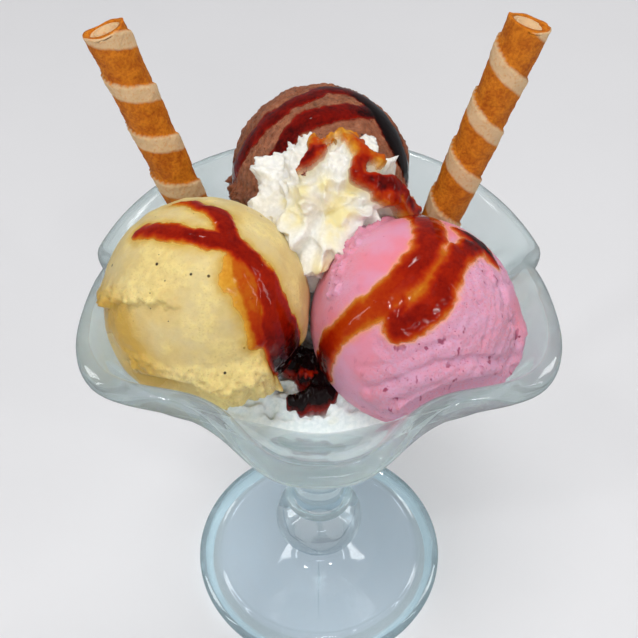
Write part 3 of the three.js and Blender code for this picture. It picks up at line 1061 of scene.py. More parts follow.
    def sections(self, angle: np.ndarray) -> np.ndarray:
        """Whole section of the dish at each angle.

        Args:
            angle: angles round +Z in radians.

        Returns:
            For each angle, rows of radius and height, from the axis under the foot to the axis in the bowl.
        """
        radius, height, _ = self.lip(angle)
        inner = self.wall(angle)
        lip = np.stack([radius, height], axis=1)
        line = np.concatenate([inner[:, :1], inner, lip[:, None]], axis=1)
        along = line[:, 2:] - line[:, :-2]
        along /= np.linalg.norm(along, axis=2, keepdims=True)
        outer = inner + self.thickness * np.stack([along[..., 1], -along[..., 0]], axis=2)
        lean = np.arctan2(height - inner[:, -1, 1], radius - inner[:, -1, 0])
        bead = [
            lip + self.lip_radius * np.stack([np.cos(lean + turn), np.sin(lean + turn)], axis=1)
            for turn in np.radians(self.bead_turns)
        ]
        stem = np.repeat(self.stem()[None], len(angle), axis=0)
        floor = np.repeat(np.array([[[0.0, self.bowl_floor]]]), len(angle), axis=0)
        rows = [stem, outer[:, 1:], np.stack(bead, axis=1), inner[:, ::-1], floor]
        return np.concatenate(rows, axis=1)

    def room(self, angle: np.ndarray, height: np.ndarray, spare: float) -> np.ndarray:
        """Largest radius inside the bowl.

        Args:
            angle: angles round +Z in radians.
            height: heights in millimetres.
            spare: gap to keep to the glass.

        Returns:
            The radius at each angle and height.
        """
        lip_radius, lip_height, _ = self.lip(angle)
        walls = self.wall(angle)
        inside = lip_radius - self.lip_radius
        room = np.array([
            np.interp(h, [*wall[:, 1], top - self.lip_overlap], [*wall[:, 0], edge])
            for h, wall, top, edge in zip(height, walls, lip_height, inside)
        ])  # fmt: skip
        over = np.maximum(0.0, height - lip_height - self.lip_radius - self.lip_overlap)
        return room - spare + self.flare * over

    def build(self) -> bpy.types.Object:
        """Builds the dish.

        Returns:
            The piece.
        """
        step = 2 * math.pi / self.segments
        sections = [smooth_route(s, 3) for s in self.sections(np.arange(self.segments) * step)]
        bm = lathe(len(sections[0]), self.segments)
        segment, station = drum_places(bm, self.segments)
        radius, height = np.maximum(np.array(sections)[segment, station].T, 0.0)
        place_vertices(bm, turned(radius, segment * step, height))
        close_mesh(bm)
        piece = to_piece(bm, "dish_glass", Finish.GLASS.material())
        piece.visible_shadow = False
        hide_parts("dish")
        return piece


# ---------------------------------------------------------------- scoops


@dataclass
class Scoop(ABC):
    """A scoop of ice cream with sauce over it."""

    dish: Dish
    node: str
    slot: str
    finish: Finish
    centre: Place
    radius: float = 26.0
    subdivisions: int = 7
    ribbons: tuple[tuple[Stop, ...], ...] = ()
    thickness: float = 0.8  # of the sauce
    bead: float = 1.6  # width of the sauce's rounded edge
    feather: float = 1.6  # width over which the sauce grows darker from its edge
    edge_depth: float = 0.3  # share of its full tint that the sauce has at its edge
    halo: float = 2.4  # width of the stain that thin sauce leaves beside it
    follow: float = 0.35  # share of the ice cream's relief that shows through the sauce
    soft_edge: float = 0.5  # width over which the sauce turns see-through
    marbling: float = 0.0  # how unevenly dark the sauce is
    marble_size: float = 3.2
    darkest_marble: float = 0.86
    torn_edge: Grain = Grain(0.65, 2.4)  # how far small tears move the sauce's edge
    wavy_edge: Swell = Swell(0.45, 5.5)  # how far slow waves move it
    torn_band: Grain = Grain(0.9, 3.2)  # how far tears move the edge of a band
    deepest_stain: float = 0.9
    kept: float = 0.9  # how far past its edge the sauce is still built
    wall_gap: float = 0.8
    wall_rise: float = 22.0  # how far over the lip's dip the wall still keeps the scoop in
    core: float = 25.0  # radius round +Z in which nothing touches the wall
    shell: float = 1.6  # thickness of the sauce's closed shell
    arc: float = 26.0  # millimetres over the scoop for each radian round its middle

    def within(self, directions: np.ndarray, route: Sequence[Heading], half_width: float) -> np.ndarray:
        """Millimetres inside a band along a route of headings, below 0 outside it."""
        rows = np.array([[*heading(place), half_width, 0.0] for place in route])
        return covering(directions, smooth_route(rows), self.arc)[0]

    def band(self, directions: np.ndarray, route: Sequence[Heading], reach: float) -> np.ndarray:
        """1 on a route of headings, falling smoothly to 0 over some millimetres beside it."""
        return smoothstep(self.within(directions, route, reach), 0.0, reach)

    def plateau(
        self, directions: np.ndarray, route: Sequence[Heading], half_width: float, edge: float
    ) -> np.ndarray:
        """1 all over a wide, torn band along a route, with a short slope beside it.

        Args:
            directions: unit vectors from the scoop's middle.
            route: headings.
            half_width: from the route to the slope's foot, in millimetres.
            edge: width of the slope, in millimetres.

        Returns:
            One number for each direction.
        """
        torn = self.torn_band.at(directions * self.arc)
        return smoothstep(self.within(directions, route, half_width) + torn, 0.0, edge)

    def mound(self, directions: np.ndarray, place: Heading, reach: float) -> np.ndarray:
        """1 at a heading, falling smoothly to 0 over some millimetres around it."""
        away = np.arccos(np.clip(directions @ heading(place), -1.0, 1.0)) * self.arc
        return smoothstep(reach - away, 0.0, reach)

    @abstractmethod
    def surface(self, directions: np.ndarray) -> np.ndarray:
        """Radius of the bare ice cream in each direction."""

    @abstractmethod
    def roughness(self, directions: np.ndarray) -> np.ndarray:
        """How crumbly the ice cream is in each direction, 0 to 1."""

    def stain(self, directions: np.ndarray, inside: np.ndarray) -> np.ndarray:
        """How strongly thin sauce stains the ice cream, from the millimetres inside the sauce's edge."""
        return self.deepest_stain * smoothstep(inside, -self.halo, 0.6) ** 2

    def sauce(self, directions: np.ndarray) -> tuple[np.ndarray, np.ndarray]:
        """Where the sauce lies.

        Args:
            directions: unit vectors from the scoop's middle.

        Returns:
            The millimetres inside the sauce's edge, below 0 outside it, and the sauce's tint.
        """
        points = directions * self.arc
        ragged = self.torn_edge.at(points) + self.wavy_edge.at(points)
        inside = np.full(len(directions), -np.inf)
        tint = np.zeros(len(directions))
        for ribbon in self.ribbons:
            rows = np.array([[*heading(stop), stop[2], stop[3]] for stop in ribbon])
            here, strength = covering(directions, smooth_route(rows), self.arc)
            here = here + ragged
            inside = np.maximum(inside, here)
            depth = self.edge_depth + (1.0 - self.edge_depth) * smoothstep(here, 0.0, self.feather)
            tint = np.maximum(tint, strength * depth * smoothstep(here, -1.2, 0.0))
        if self.marbling > 0:
            marbled = tint + self.marbling * grain(points, self.marble_size, 3)
            tint = np.minimum(marbled, self.darkest_marble)
        return inside, tint

    def sauce_height(self, inside: np.ndarray) -> np.ndarray:
        """Height of the sauce over the ice cream; it dips under the surface outside its edge."""
        return np.where(inside > 0, self.thickness * (1.0 - np.exp(-inside / self.bead)), 0.5 * inside)

    def press(self, points: np.ndarray) -> np.ndarray:
        """Keeps the scoop inside the bowl.

        Args:
            points: rows of x, y, z; those past the wall are moved.

        Returns:
            The same rows.
        """
        flat = np.hypot(points[:, 0], points[:, 1])
        near = (points[:, 2] < self.dish.dip_height + self.wall_rise) & (flat > self.core)
        angle = np.arctan2(points[near, 1], points[near, 0])
        room = self.dish.room(angle, points[near, 2], self.wall_gap)
        points[near, :2] *= np.minimum(1.0, room / flat[near])[:, None]
        return points

    def lie_flat(self, bare: np.ndarray, inside: np.ndarray) -> np.ndarray:
        """The ice cream's radius, smoothed where it lies inside the sauce's edge."""
        smooth = self.radius + self.follow * (bare - self.radius)
        return bare + smoothstep(inside, -0.8, 0.8) * (smooth - bare)

    def ball(self) -> bmesh.types.BMesh:
        """A fine ball of radius 1."""
        bm = bmesh.new()
        bmesh.ops.create_icosphere(bm, subdivisions=self.subdivisions, radius=1.0)
        return bm

    def placed_ball(self, directions: np.ndarray, radius: np.ndarray) -> bmesh.types.BMesh:
        """The fine ball with its vertices moved out along their directions.

        Args:
            directions: unit vectors of the ball's vertices.
            radius: distance from the scoop's middle for each.

        Returns:
            The ball.
        """
        bm = self.ball()
        place_vertices(bm, self.press(np.array(self.centre) + directions * radius[:, None]))
        return bm

    def build(self) -> None:
        """Builds the ice cream and its sauce."""
        bm = self.ball()
        directions = coordinates(bm)
        bm.free()
        directions /= np.linalg.norm(directions, axis=1, keepdims=True)
        inside, tint = self.sauce(directions)
        radius = self.lie_flat(self.surface(directions), inside)
        self.build_ice(directions, radius, inside)
        self.build_sauce(directions, radius + self.sauce_height(inside), inside, tint)

    def build_ice(self, directions: np.ndarray, radius: np.ndarray, inside: np.ndarray) -> None:
        """Builds the ice cream.

        Args:
            directions: unit vectors from the scoop's middle.
            radius: distance of the surface for each.
            inside: the millimetres inside the sauce's edge.
        """
        bm = self.placed_ball(directions, radius)
        write_layer(bm, "rough", self.roughness(directions))
        write_layer(bm, "stain", self.stain(directions, inside))
        piece = to_piece(bm, f"{self.node}_ice", self.finish.material())
        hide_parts(self.node)

    def build_sauce(
        self, directions: np.ndarray, radius: np.ndarray, inside: np.ndarray, tint: np.ndarray
    ) -> None:
        """Builds the sauce, a shell that rests on the ice cream and is closed under its surface.

        Args:
            directions: unit vectors from the scoop's middle.
            radius: distance of the sauce's surface for each.
            inside: the millimetres inside its edge.
            tint: how dark it is.
        """
        bm = self.placed_ball(directions, radius)
        write_layer(bm, "tint", tint)
        write_layer(bm, "cover", smoothstep(inside, -0.25, self.soft_edge))
        close_shell(bm, inside, self.kept, self.shell)
        piece = to_piece(bm, f"{self.node}_sauce", Finish.SAUCE.material())
        piece.visible_shadow = False


@dataclass
class VanillaScoop(Scoop):
    """The smooth pale yellow scoop on the left."""

    node: str = "vanilla_scoop"
    slot: str = "vanilla_ice"
    finish: Finish = Finish.VANILLA
    centre: Place = (-28.5, -22.0, 158.0)
    ledge: tuple[Heading, ...] = ((-172, 6), (-161, 16), (-150, 26), (-138, 34), (-126, 39), (-115, 41))
    skirt: tuple[Heading, ...] = ((-124, 2), (-116, 3), (-107, 0), (-99, 1), (-90, 2), (-80, -2))
    lump: tuple[Heading, ...] = ((-77, -11), (-66, -9), (-57, -9), (-50, -14))
    follow: float = 0.1
    halo: float = 3.6
    ledge_height: float = 2.0
    ledge_reach: float = 7.0
    ledge_wander: float = 4.0  # degrees by which tears move the ledge's line
    under_ledge: float = 0.9  # how far the ice cream draws back below the ledge
    skirt_height: float = 0.5
    lump_height: float = 2.6
    tear_size: float = 2.4
    crumb_size: float = 3.0
    ledge_torn: tuple[float, float] = (0.9, 0.5)  # height of the tears and of the crumbs on the ledge
    skirt_torn: tuple[float, float] = (0.8, 0.5)
    lump_torn: tuple[float, float] = (1.2, 1.4)
    swell: Swell = Swell(0.35, 17.0)
    low_swell: Swell = Swell(1.0, 7.0)
    mottle: Grain = Grain(0.24, 4.5, 4)
    # the ice cream below the ledge, painted darker and more golden: partly its tone there, partly painted
    # shade under the ledge
    golden_and_shaded: tuple[Heading, ...] = ((-166, 4), (-158, 12), (-146, 19), (-135, 16), (-126, 4), (-120, -8))
    ribbons: tuple[tuple[Stop, ...], ...] = (
        ((176, 59, 2.6, 0.7), (-172, 71, 2.7, 0.74), (-151, 77, 2.8, 0.74), (-110, 80, 2.9, 0.76),
         (-68, 78, 3.0, 0.78), (-46, 74, 3.3, 0.78), (-33, 68, 3.4, 0.78)),
        ((124, 63, 0.9, 0.6), (107, 68, 1.6, 0.7), (87, 76, 2.3, 0.74), (58, 77, 2.7, 0.75),
         (22, 76, 3.0, 0.76), (-9, 75, 3.2, 0.78), (-31, 70, 3.4, 0.78)),
        ((-31, 70, 3.4, 0.78), (-33, 64, 3.3, 0.76), (-33, 58, 3.1, 0.74), (-32, 50, 3.2, 0.7),
         (-34, 42, 3.8, 0.68), (-37, 34, 4.5, 0.69), (-39, 26, 5.2, 0.72), (-40, 18, 5.8, 0.77),
         (-40, 10, 6.2, 0.84), (-39, 2, 6.2, 0.93), (-36, -8, 5.8, 1.0), (-32, -19, 5.0, 1.0)),
        ((-40, 60, 2.4, 0.42), (-46, 53, 3.2, 0.38), (-48, 46, 3.5, 0.36), (-50, 39, 3.5, 0.39),
         (-52, 31, 3.1, 0.45), (-53, 24, 2.6, 0.54), (-53, 16, 2.2, 0.66)),
        ((-50, 62, 1.6, 0.16), (-56, 56, 2.4, 0.14), (-59, 50, 2.8, 0.14), (-56, 43, 2.8, 0.14),
         (-56, 34, 2.3, 0.16), (-57, 25, 1.9, 0.22), (-58, 15, 1.6, 0.32)),
    )  # fmt: skip

    def surface(self, directions: np.ndarray) -> np.ndarray:
        """Radius of the bare ice cream.

        Args:
            directions: unit vectors from the scoop's middle.

        Returns:
            The radius in each direction.
        """
        points = directions * self.arc
        low = np.clip(0.25 - directions[:, 2], 0.0, 1.0)
        texture = np.array([grain(points, self.tear_size), crumble(points, self.crumb_size)])
        azimuth = np.degrees(np.arctan2(directions[:, 1], directions[:, 0]))
        elevation = np.degrees(np.arcsin(np.clip(directions[:, 2], -1.0, 1.0)))
        line = np.interp(azimuth, *zip(*self.ledge))
        above = smoothstep(elevation - line + self.ledge_wander * texture[0], -1.5, 1.0)
        torn_ledge = self.ledge_height * above - self.under_ledge + above * (self.ledge_torn @ texture)
        torn_skirt = self.skirt_height + self.skirt_torn @ texture
        torn_lump = self.lump_height + self.lump_torn @ texture
        lump = self.plateau(directions, self.lump, 8.4, 4.2)
        return (
            self.radius
            + self.swell.at(points)
            + self.mottle.at(points)
            + low * self.low_swell.at(points)
            + torn_ledge * self.band(directions, self.ledge, self.ledge_reach)
            + torn_skirt * self.plateau(directions, self.skirt, 3.2, 1.6) * (1.0 - lump)
            + torn_lump * lump
        )

    def roughness(self, directions: np.ndarray) -> np.ndarray:
        """How crumbly the ice cream is.

        Args:
            directions: unit vectors from the scoop's middle.

        Returns:
            The roughness in each direction, 0 to 1.
        """
        lump = self.plateau(directions, self.lump, 8.5, 2.0)
        skirt = self.plateau(directions, self.skirt, 3.5, 1.6)
        ledge = self.plateau(directions, self.ledge, 3.0, 2.0)
        patch = 0.45 * smoothstep(grain(directions * self.arc, 9.0, 2), -0.1, 0.4)
        return np.clip(0.3 + lump + 0.8 * skirt + 0.5 * ledge + patch, 0.0, 1.0)

    def stain(self, directions: np.ndarray, inside: np.ndarray) -> np.ndarray:
        """How golden the ice cream is in each direction; below the ledge it is darker and more golden,
        partly its own tone there and partly painted shade under the ledge.
        """
        under = self.plateau(directions, self.golden_and_shaded, 11.0, 9.0)
        return np.maximum(super().stain(directions, inside), 0.85 * under)


@dataclass
class StrawberryScoop(Scoop):
    """The pink scoop on the right, smooth at its left and dragged at its right."""

    node: str = "strawberry_scoop"
    slot: str = "strawberry_ice"
    finish: Finish = Finish.STRAWBERRY
    centre: Place = (24.2, -23.2, 151.8)
    radius: float = 26.5
    thickness: float = 0.65
    feather: float = 2.4
    edge_depth: float = 0.4
    halo: float = 1.5
    soft_edge: float = 0.8
    drag_lines: DragLines = DragLines((-120, 62), 6.5, Swell(2.6, 8.0))
    line_height: float = 0.08
    pit_depth: float = 1.8
    pit_size: float = 3.6
    pit_start: float = 0.22  # the noise over which there is a pit
    tear_size: float = 2.0
    dragged_tears: float = 0.26
    low_tears: float = 0.12
    skirt_tears: float = 0.5
    curl_tears: float = 1.5
    swell: Swell = Swell(0.3, 18.0)
    dragged_swell: Swell = Swell(0.2, 6.0)
    fine: Grain = Grain(0.12, 1.1, 2)
    crease_depth: float = 0.8
    crease_roll: float = 0.9  # height of the roll under the crease
    upper_crease_depth: float = 0.35
    upper_crease_roll: float = 0.3
    flange_height: float = 0.5
    skirt_height: float = 1.3
    curl_height: float = 0.6
    crease: tuple[Heading, ...] = (
        (-118, 2), (-104, 13), (-92, 21), (-80, 24), (-63, 22), (-50, 16), (-40, 8),
    )  # fmt: skip
    upper_crease: tuple[Heading, ...] = ((-124, 14), (-112, 20), (-102, 25), (-88, 32), (-72, 36))
    flange: tuple[Heading, ...] = ((-12, 30), (-12, 18), (-18, 6), (-26, -8))
    skirt: tuple[Heading, ...] = (
        (-106, -8), (-92, -3), (-75, -3), (-58, -4), (-41, -6), (-28, -2), (-15, 8),
    )  # fmt: skip
    curl: tuple[Heading, ...] = ((-168, 38), (173, 44), (160, 50), (131, 50), (114, 46))
    ribbons: tuple[tuple[Stop, ...], ...] = (
        ((89, 50, 4.0, 0.8), (79, 64, 4.2, 0.76), (60, 80, 4.3, 0.74), (-70, 84, 4.1, 0.73),
         (-102, 76, 4.1, 0.71), (-112, 68, 4.1, 0.66), (-119, 60, 4.2, 0.6), (-125, 52, 4.2, 0.53),
         (-133, 43, 3.9, 0.48), (-139, 34, 3.6, 0.5), (-144, 24, 3.5, 0.58), (-148, 12, 3.6, 0.7),
         (-150, 0, 3.8, 0.9), (-152, -11, 4.0, 1.0)),
        ((60, 87, 2.0, 0.72), (-101, 78, 2.4, 0.72), (-112, 69, 2.4, 0.72), (-112, 60, 2.2, 0.72),
         (-107, 53, 2.2, 0.72), (-110, 46, 2.8, 0.74), (-109, 39, 2.8, 0.76)),
        ((20, 50, 3.4, 0.9), (12, 60, 3.5, 0.84), (-15, 70, 3.5, 0.78), (-44, 69, 3.6, 0.73),
         (-64, 64, 3.8, 0.73), (-75, 58, 4.0, 0.74), (-86, 52, 4.1, 0.75), (-97, 47, 4.2, 0.75),
         (-104, 43, 3.8, 0.74), (-110, 40, 3.0, 0.74)),
        ((-38, 79, 2.6, 0.14), (-76, 71, 2.8, 0.12), (-92, 65, 2.8, 0.12), (-102, 58, 2.4, 0.16)),
        ((40, 60, 2.2, 0.85), (30, 57, 3.0, 0.95), (20, 53, 3.4, 0.96), (10, 48, 2.6, 0.94),
         (2, 44, 1.4, 0.86)),
    )  # fmt: skip

    def drag(self, directions: np.ndarray) -> np.ndarray:
        """How strongly the ice cream is dragged, 0 at the left and 1 at the right.

        Args:
            directions: unit vectors from the scoop's middle.

        Returns:
            The share in each direction.
        """
        right = heading((-45, 15))
        turn = directions @ right + 0.12 * grain(directions * self.arc, 6.0, 2)
        return smoothstep(turn, 0.22, 0.54) * (1.0 - self.plateau(directions, self.flange, 3.4, 1.2))

    def surface(self, directions: np.ndarray) -> np.ndarray:
        """Radius of the bare ice cream.

        Args:
            directions: unit vectors from the scoop's middle.

        Returns:
            The radius in each direction.
        """
        points = directions * self.arc
        ragged = grain(points, self.tear_size)
        lines = self.line_height * self.drag_lines.at(directions, points)
        pits = self.pit_depth * np.maximum(0.0, grain(points, self.pit_size, 2) - self.pit_start)
        torn = lines + self.dragged_swell.at(points) + self.dragged_tears * ragged - pits
        low = smoothstep(-directions[:, 2], -0.35, 0.05)
        roll = [(a, e - 7) for a, e in self.crease]
        upper_roll = [(a, e - 5) for a, e in self.upper_crease]
        return (
            self.radius
            + self.swell.at(points)
            + self.drag(directions) * (torn + self.fine.at(points))
            + self.flange_height * self.plateau(directions, self.flange, 3.4, 1.2)
            + self.low_tears * low * ragged
            - self.crease_depth * self.band(directions, self.crease, 1.6)
            + self.crease_roll * self.band(directions, roll, 3.4)
            - self.upper_crease_depth * self.band(directions, self.upper_crease, 1.4)
            + self.upper_crease_roll * self.band(directions, upper_roll, 2.6)
            + (self.skirt_height + self.skirt_tears * ragged) * self.band(directions, self.skirt, 4.5)
            + (self.curl_height + self.curl_tears * ragged) * self.plateau(directions, self.curl, 3.2, 1.2)
        )

    def roughness(self, directions: np.ndarray) -> np.ndarray:
        """How crumbly the ice cream is.

        Args:
            directions: unit vectors from the scoop's middle.

        Returns:
            The roughness in each direction, 0 to 1.
        """
        curl = self.plateau(directions, self.curl, 9.0, 6.0)
        flange = self.plateau(directions, self.flange, 4.0, 2.0)
        low = smoothstep(-directions[:, 2], -0.5, 0.1)
        drag = np.maximum(self.drag(directions), 0.5 * flange)
        return np.clip(0.04 + 0.9 * drag + 0.6 * curl + 0.45 * low, 0.0, 1.0)


@dataclass
class ChocolateScoop(Scoop):
    """The brown scoop at the back, with drag ridges and dark sauce along them."""

    node: str = "chocolate_scoop"
    slot: str = "chocolate_ice"
    finish: Finish = Finish.CHOCOLATE
    centre: Place = (0.5, 30.3, 157.0)
    radius: float = 25.3
    drag_lines: DragLines = DragLines((-60, 30), 4.6, Swell(2.4, 10.0))
    line_height: float = 0.17
    tear_size: float = 1.7
    tear_height: float = 0.38
    swell: Swell = Swell(0.4, 8.0)
    fine: Grain = Grain(0.16, 1.0, 2)
    foot_height: float = 1.0
    foot_tears: float = 1.3
    crumb_size: float = 2.4
    foot: tuple[Heading, ...] = ((-178, -10), (-171, -5), (-160, -2), (-147, 2), (-138, 6))
    thickness: float = 0.45
    feather: float = 1.0
    edge_depth: float = 0.85
    halo: float = 1.0
    follow: float = 0.05
    ribbons: tuple[tuple[Stop, ...], ...] = (
        ((-172, -4, 2.2, 0.86), (-171, 6, 2.6, 0.86), (-167, 16, 2.9, 0.86), (-166, 26, 3.0, 0.86),
         (-166, 43, 3.0, 0.86), (-169, 58, 3.0, 0.86), (178, 71, 3.0, 0.86), (142, 81, 3.0, 0.87),
         (78, 75, 3.1, 0.87), (45, 64, 3.5, 0.92), (24, 56, 4.1, 0.99), (9, 49, 5.0, 1.05),
         (-3, 41, 5.4, 1.05), (-10, 31, 5.2, 1.05), (-12, 20, 4.2, 1.02), (-12, 8, 2.8, 0.98)),
        ((-131, 30, 1.8, 0.84), (-130, 40, 2.2, 0.86), (-128, 52, 2.7, 0.86), (-124, 65, 3.2, 0.84),
         (-101, 75, 3.4, 0.86), (-50, 76, 3.3, 0.86), (-11, 67, 2.9, 0.88), (-2, 59, 2.8, 0.96)),
        ((178, 9, 0.9, 0.24), (-178, 2, 1.4, 0.26), (-176, -6, 1.5, 0.28)),
    )  # fmt: skip

    def surface(self, directions: np.ndarray) -> np.ndarray:
        """Radius of the bare ice cream.

        Args:
            directions: unit vectors from the scoop's middle.

        Returns:
            The radius in each direction.
        """
        points = directions * self.arc
        ragged = grain(points, self.tear_size)
        torn_foot = self.foot_height + self.foot_tears * ragged + crumble(points, self.crumb_size)
        return (
            self.radius
            + self.line_height * self.drag_lines.at(directions, points)
            + self.swell.at(points)
            + self.tear_height * ragged
            + self.fine.at(points)
            + torn_foot * self.plateau(directions, self.foot, 4.5, 1.6)
        )

    def roughness(self, directions: np.ndarray) -> np.ndarray:
        """How crumbly the ice cream is in each direction, 0 to 1."""
        return np.clip(0.7 + 0.4 * grain(directions * self.arc, 9.0, 2), 0.0, 1.0)


# ---------------------------------------------------------------- cream


@dataclass
class SoftCream:
    """The cream that fills the bowl, and whose rough top shows at the front."""

    dish: Dish
    segments: int = 200
    side_rings: int = 24
    top_rings: int = 110
    level: float = 135.0
    edge_at_dip: float = 129.0
    edge_at_lobe: float = 132.5
    slope: float = 7.0  # width over which it rises from the wall to its level
    into_wall: float = 0.3  # how far it reaches into the glass, so that no air shows
    lump_size: float = 5.0
    lump_shift: float = 20.0  # moves the lumps to a place of their noise that suits the top
    lump_sharpness: float = 2.6
    swell: Swell = Swell(0.9, 9.0)
    calm: float = 2.5  # width beside the wall over which the lumps fade

    def edge(self, angle: np.ndarray) -> np.ndarray:
        """Height at which the cream meets the wall, from angles round +Z in radians."""
        _, _, share = self.dish.lip(angle)
        return self.edge_at_dip + share * (self.edge_at_lobe - self.edge_at_dip)

    def height(self, x: np.ndarray, y: np.ndarray, rough: float = 2.3) -> np.ndarray:
        """Height of the cream's top.

        Args:
            x: places across.
            y: places from front to back.
            rough: depth of its fine relief in millimetres.

        Returns:
            The height at each place.
        """
        angle = np.arctan2(y, x)
        edge = self.edge(angle)
        from_wall = self.dish.room(angle, edge, 0.0) - np.hypot(x, y)
        points = on_floor(x, y)
        lumps = 1.0 - self.lump_sharpness * np.abs(grain(points + self.lump_shift, self.lump_size, 4))
        top = self.level + self.swell.at(points)
        rise = smoothstep(from_wall, -0.5, self.slope)
        return edge + rise * (top - edge) + rough * lumps * smoothstep(from_wall, 0.0, self.calm)

    def build(self) -> None:
        """Builds the cream."""
        step = 2 * math.pi / self.segments
        angle = np.arange(self.segments) * step
        level = self.edge(angle)
        walls = self.dish.wall(angle)
        bm = lathe(self.side_rings + self.top_rings + 1, self.segments)
        segment, station = drum_places(bm, self.segments)
        up = np.clip(station / self.side_rings, 0.0, 1.0)
        height = self.dish.bowl_floor + up * (level[segment] - self.dish.bowl_floor)
        radius = np.array([np.interp(h, walls[s][:, 1], walls[s][:, 0]) for h, s in zip(height, segment)])
        inward = np.clip((station - self.side_rings) / self.top_rings, 0.0, 1.0)
        radius = np.where(station == 0, 0.0, radius + self.into_wall) * (1.0 - inward)
        places = turned(radius, segment * step, height)
        top = inward > 0
        places[top, 2] = self.height(places[top, 0], places[top, 1])
        place_vertices(bm, places)
        write_layer(bm, "stain", np.zeros(len(places)))
        close_mesh(bm)
        piece = to_piece(bm, "cream_base_fill", Finish.CREAM.material())
        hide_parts("cream_base")


@dataclass
class SaucePool:
    """Sauce that has run down between the front scoops and out over the cream."""

    cream: SoftCream
    lobes: tuple[tuple[float, float, float], ...] = (  # place across, place in depth, radius
        (-10.5, -24.5, 3.4), (-7.2, -26.2, 3.6), (-3.2, -27.2, 3.6), (0.4, -27.9, 4.2), (1.8, -31.4, 4.3),
        (1.6, -34.6, 3.0), (-1.2, -35.3, 2.9), (-4.4, -36.4, 2.3), (-7.2, -36.0, 1.7), (-3.4, -30.0, 3.0),
    )  # fmt: skip
    joining: float = 1.8  # a higher number joins the lobes more sharply
    torn_edge: Grain = Grain(0.3, 2.6, 2)
    middle: tuple[float, float] = (-1.5, -28.5)
    half_size: tuple[float, float] = (12.0, 15.0)
    cells: int = 120
    valley_rise: float = 0.7  # how steeply the valley between the scoops climbs
    foot_line: float = -33.0  # where it has come down to the cream
    thickness: float = 2.9
    bead: float = 1.7
    follow: float = 0.6  # depth of the cream's lumps that show through it, in millimetres
    thin_spot: tuple[float, float, float] = (-3.0, -30.2, 1.7)  # place and reach of a red glow
    shell: float = 2.5  # thickness of its closed shell
    kept: float = 1.0  # how far past its edge it is still built
    edge_tint: float = 0.78
    depth_tint: float = 0.3  # what the depth adds to it
    glow: float = 0.5  # what the thin spot takes off it

    def inside(self, x: np.ndarray, y: np.ndarray) -> np.ndarray:
        """How far each place lies inside the pool.

        Args:
            x: places across.
            y: places from front to back.

        Returns:
            The millimetres inside the pool's edge, below 0 outside it.
        """
        gathered = sum(np.exp(self.joining * (r - np.hypot(x - cx, y - cy))) for cx, cy, r in self.lobes)
        return np.log(gathered) / self.joining + self.torn_edge.at(on_floor(x, y))

    def build(self) -> None:
        """Builds the pool."""
        bm = bmesh.new()
        bmesh.ops.create_grid(bm, x_segments=self.cells, y_segments=self.cells, size=1.0)
        points = coordinates(bm)
        x, y = (self.middle[i] + self.half_size[i] * points[:, i] for i in range(2))
        inside = self.inside(x, y)
        rim = np.clip(inside / self.bead, 0.0, 1.0)
        dome = np.where(inside > 0, self.thickness * np.sqrt(1.0 - (1.0 - rim) ** 2), 1.1 * inside)
        valley = self.valley_rise * np.maximum(0.0, y - self.foot_line)
        height = self.cream.height(x, y, self.follow) + valley + dome
        place_vertices(bm, np.stack([x, y, height], axis=1))
        across, deep, reach = self.thin_spot
        aside = np.hypot(0.45 * (x - across), y - deep)
        thin = smoothstep(reach - aside + 1.3 * grain(points * 10.0, 1.7, 3), 0.0, 1.6)
        tint = self.edge_tint + self.depth_tint * smoothstep(inside, 0.0, 1.1) - self.glow * thin
        write_layer(bm, "tint", tint)
        write_layer(bm, "cover", smoothstep(inside, -0.6, 0.3))
        close_shell(bm, inside, self.kept, self.shell)
        to_piece(bm, "sauce_pool", Finish.SAUCE.material())


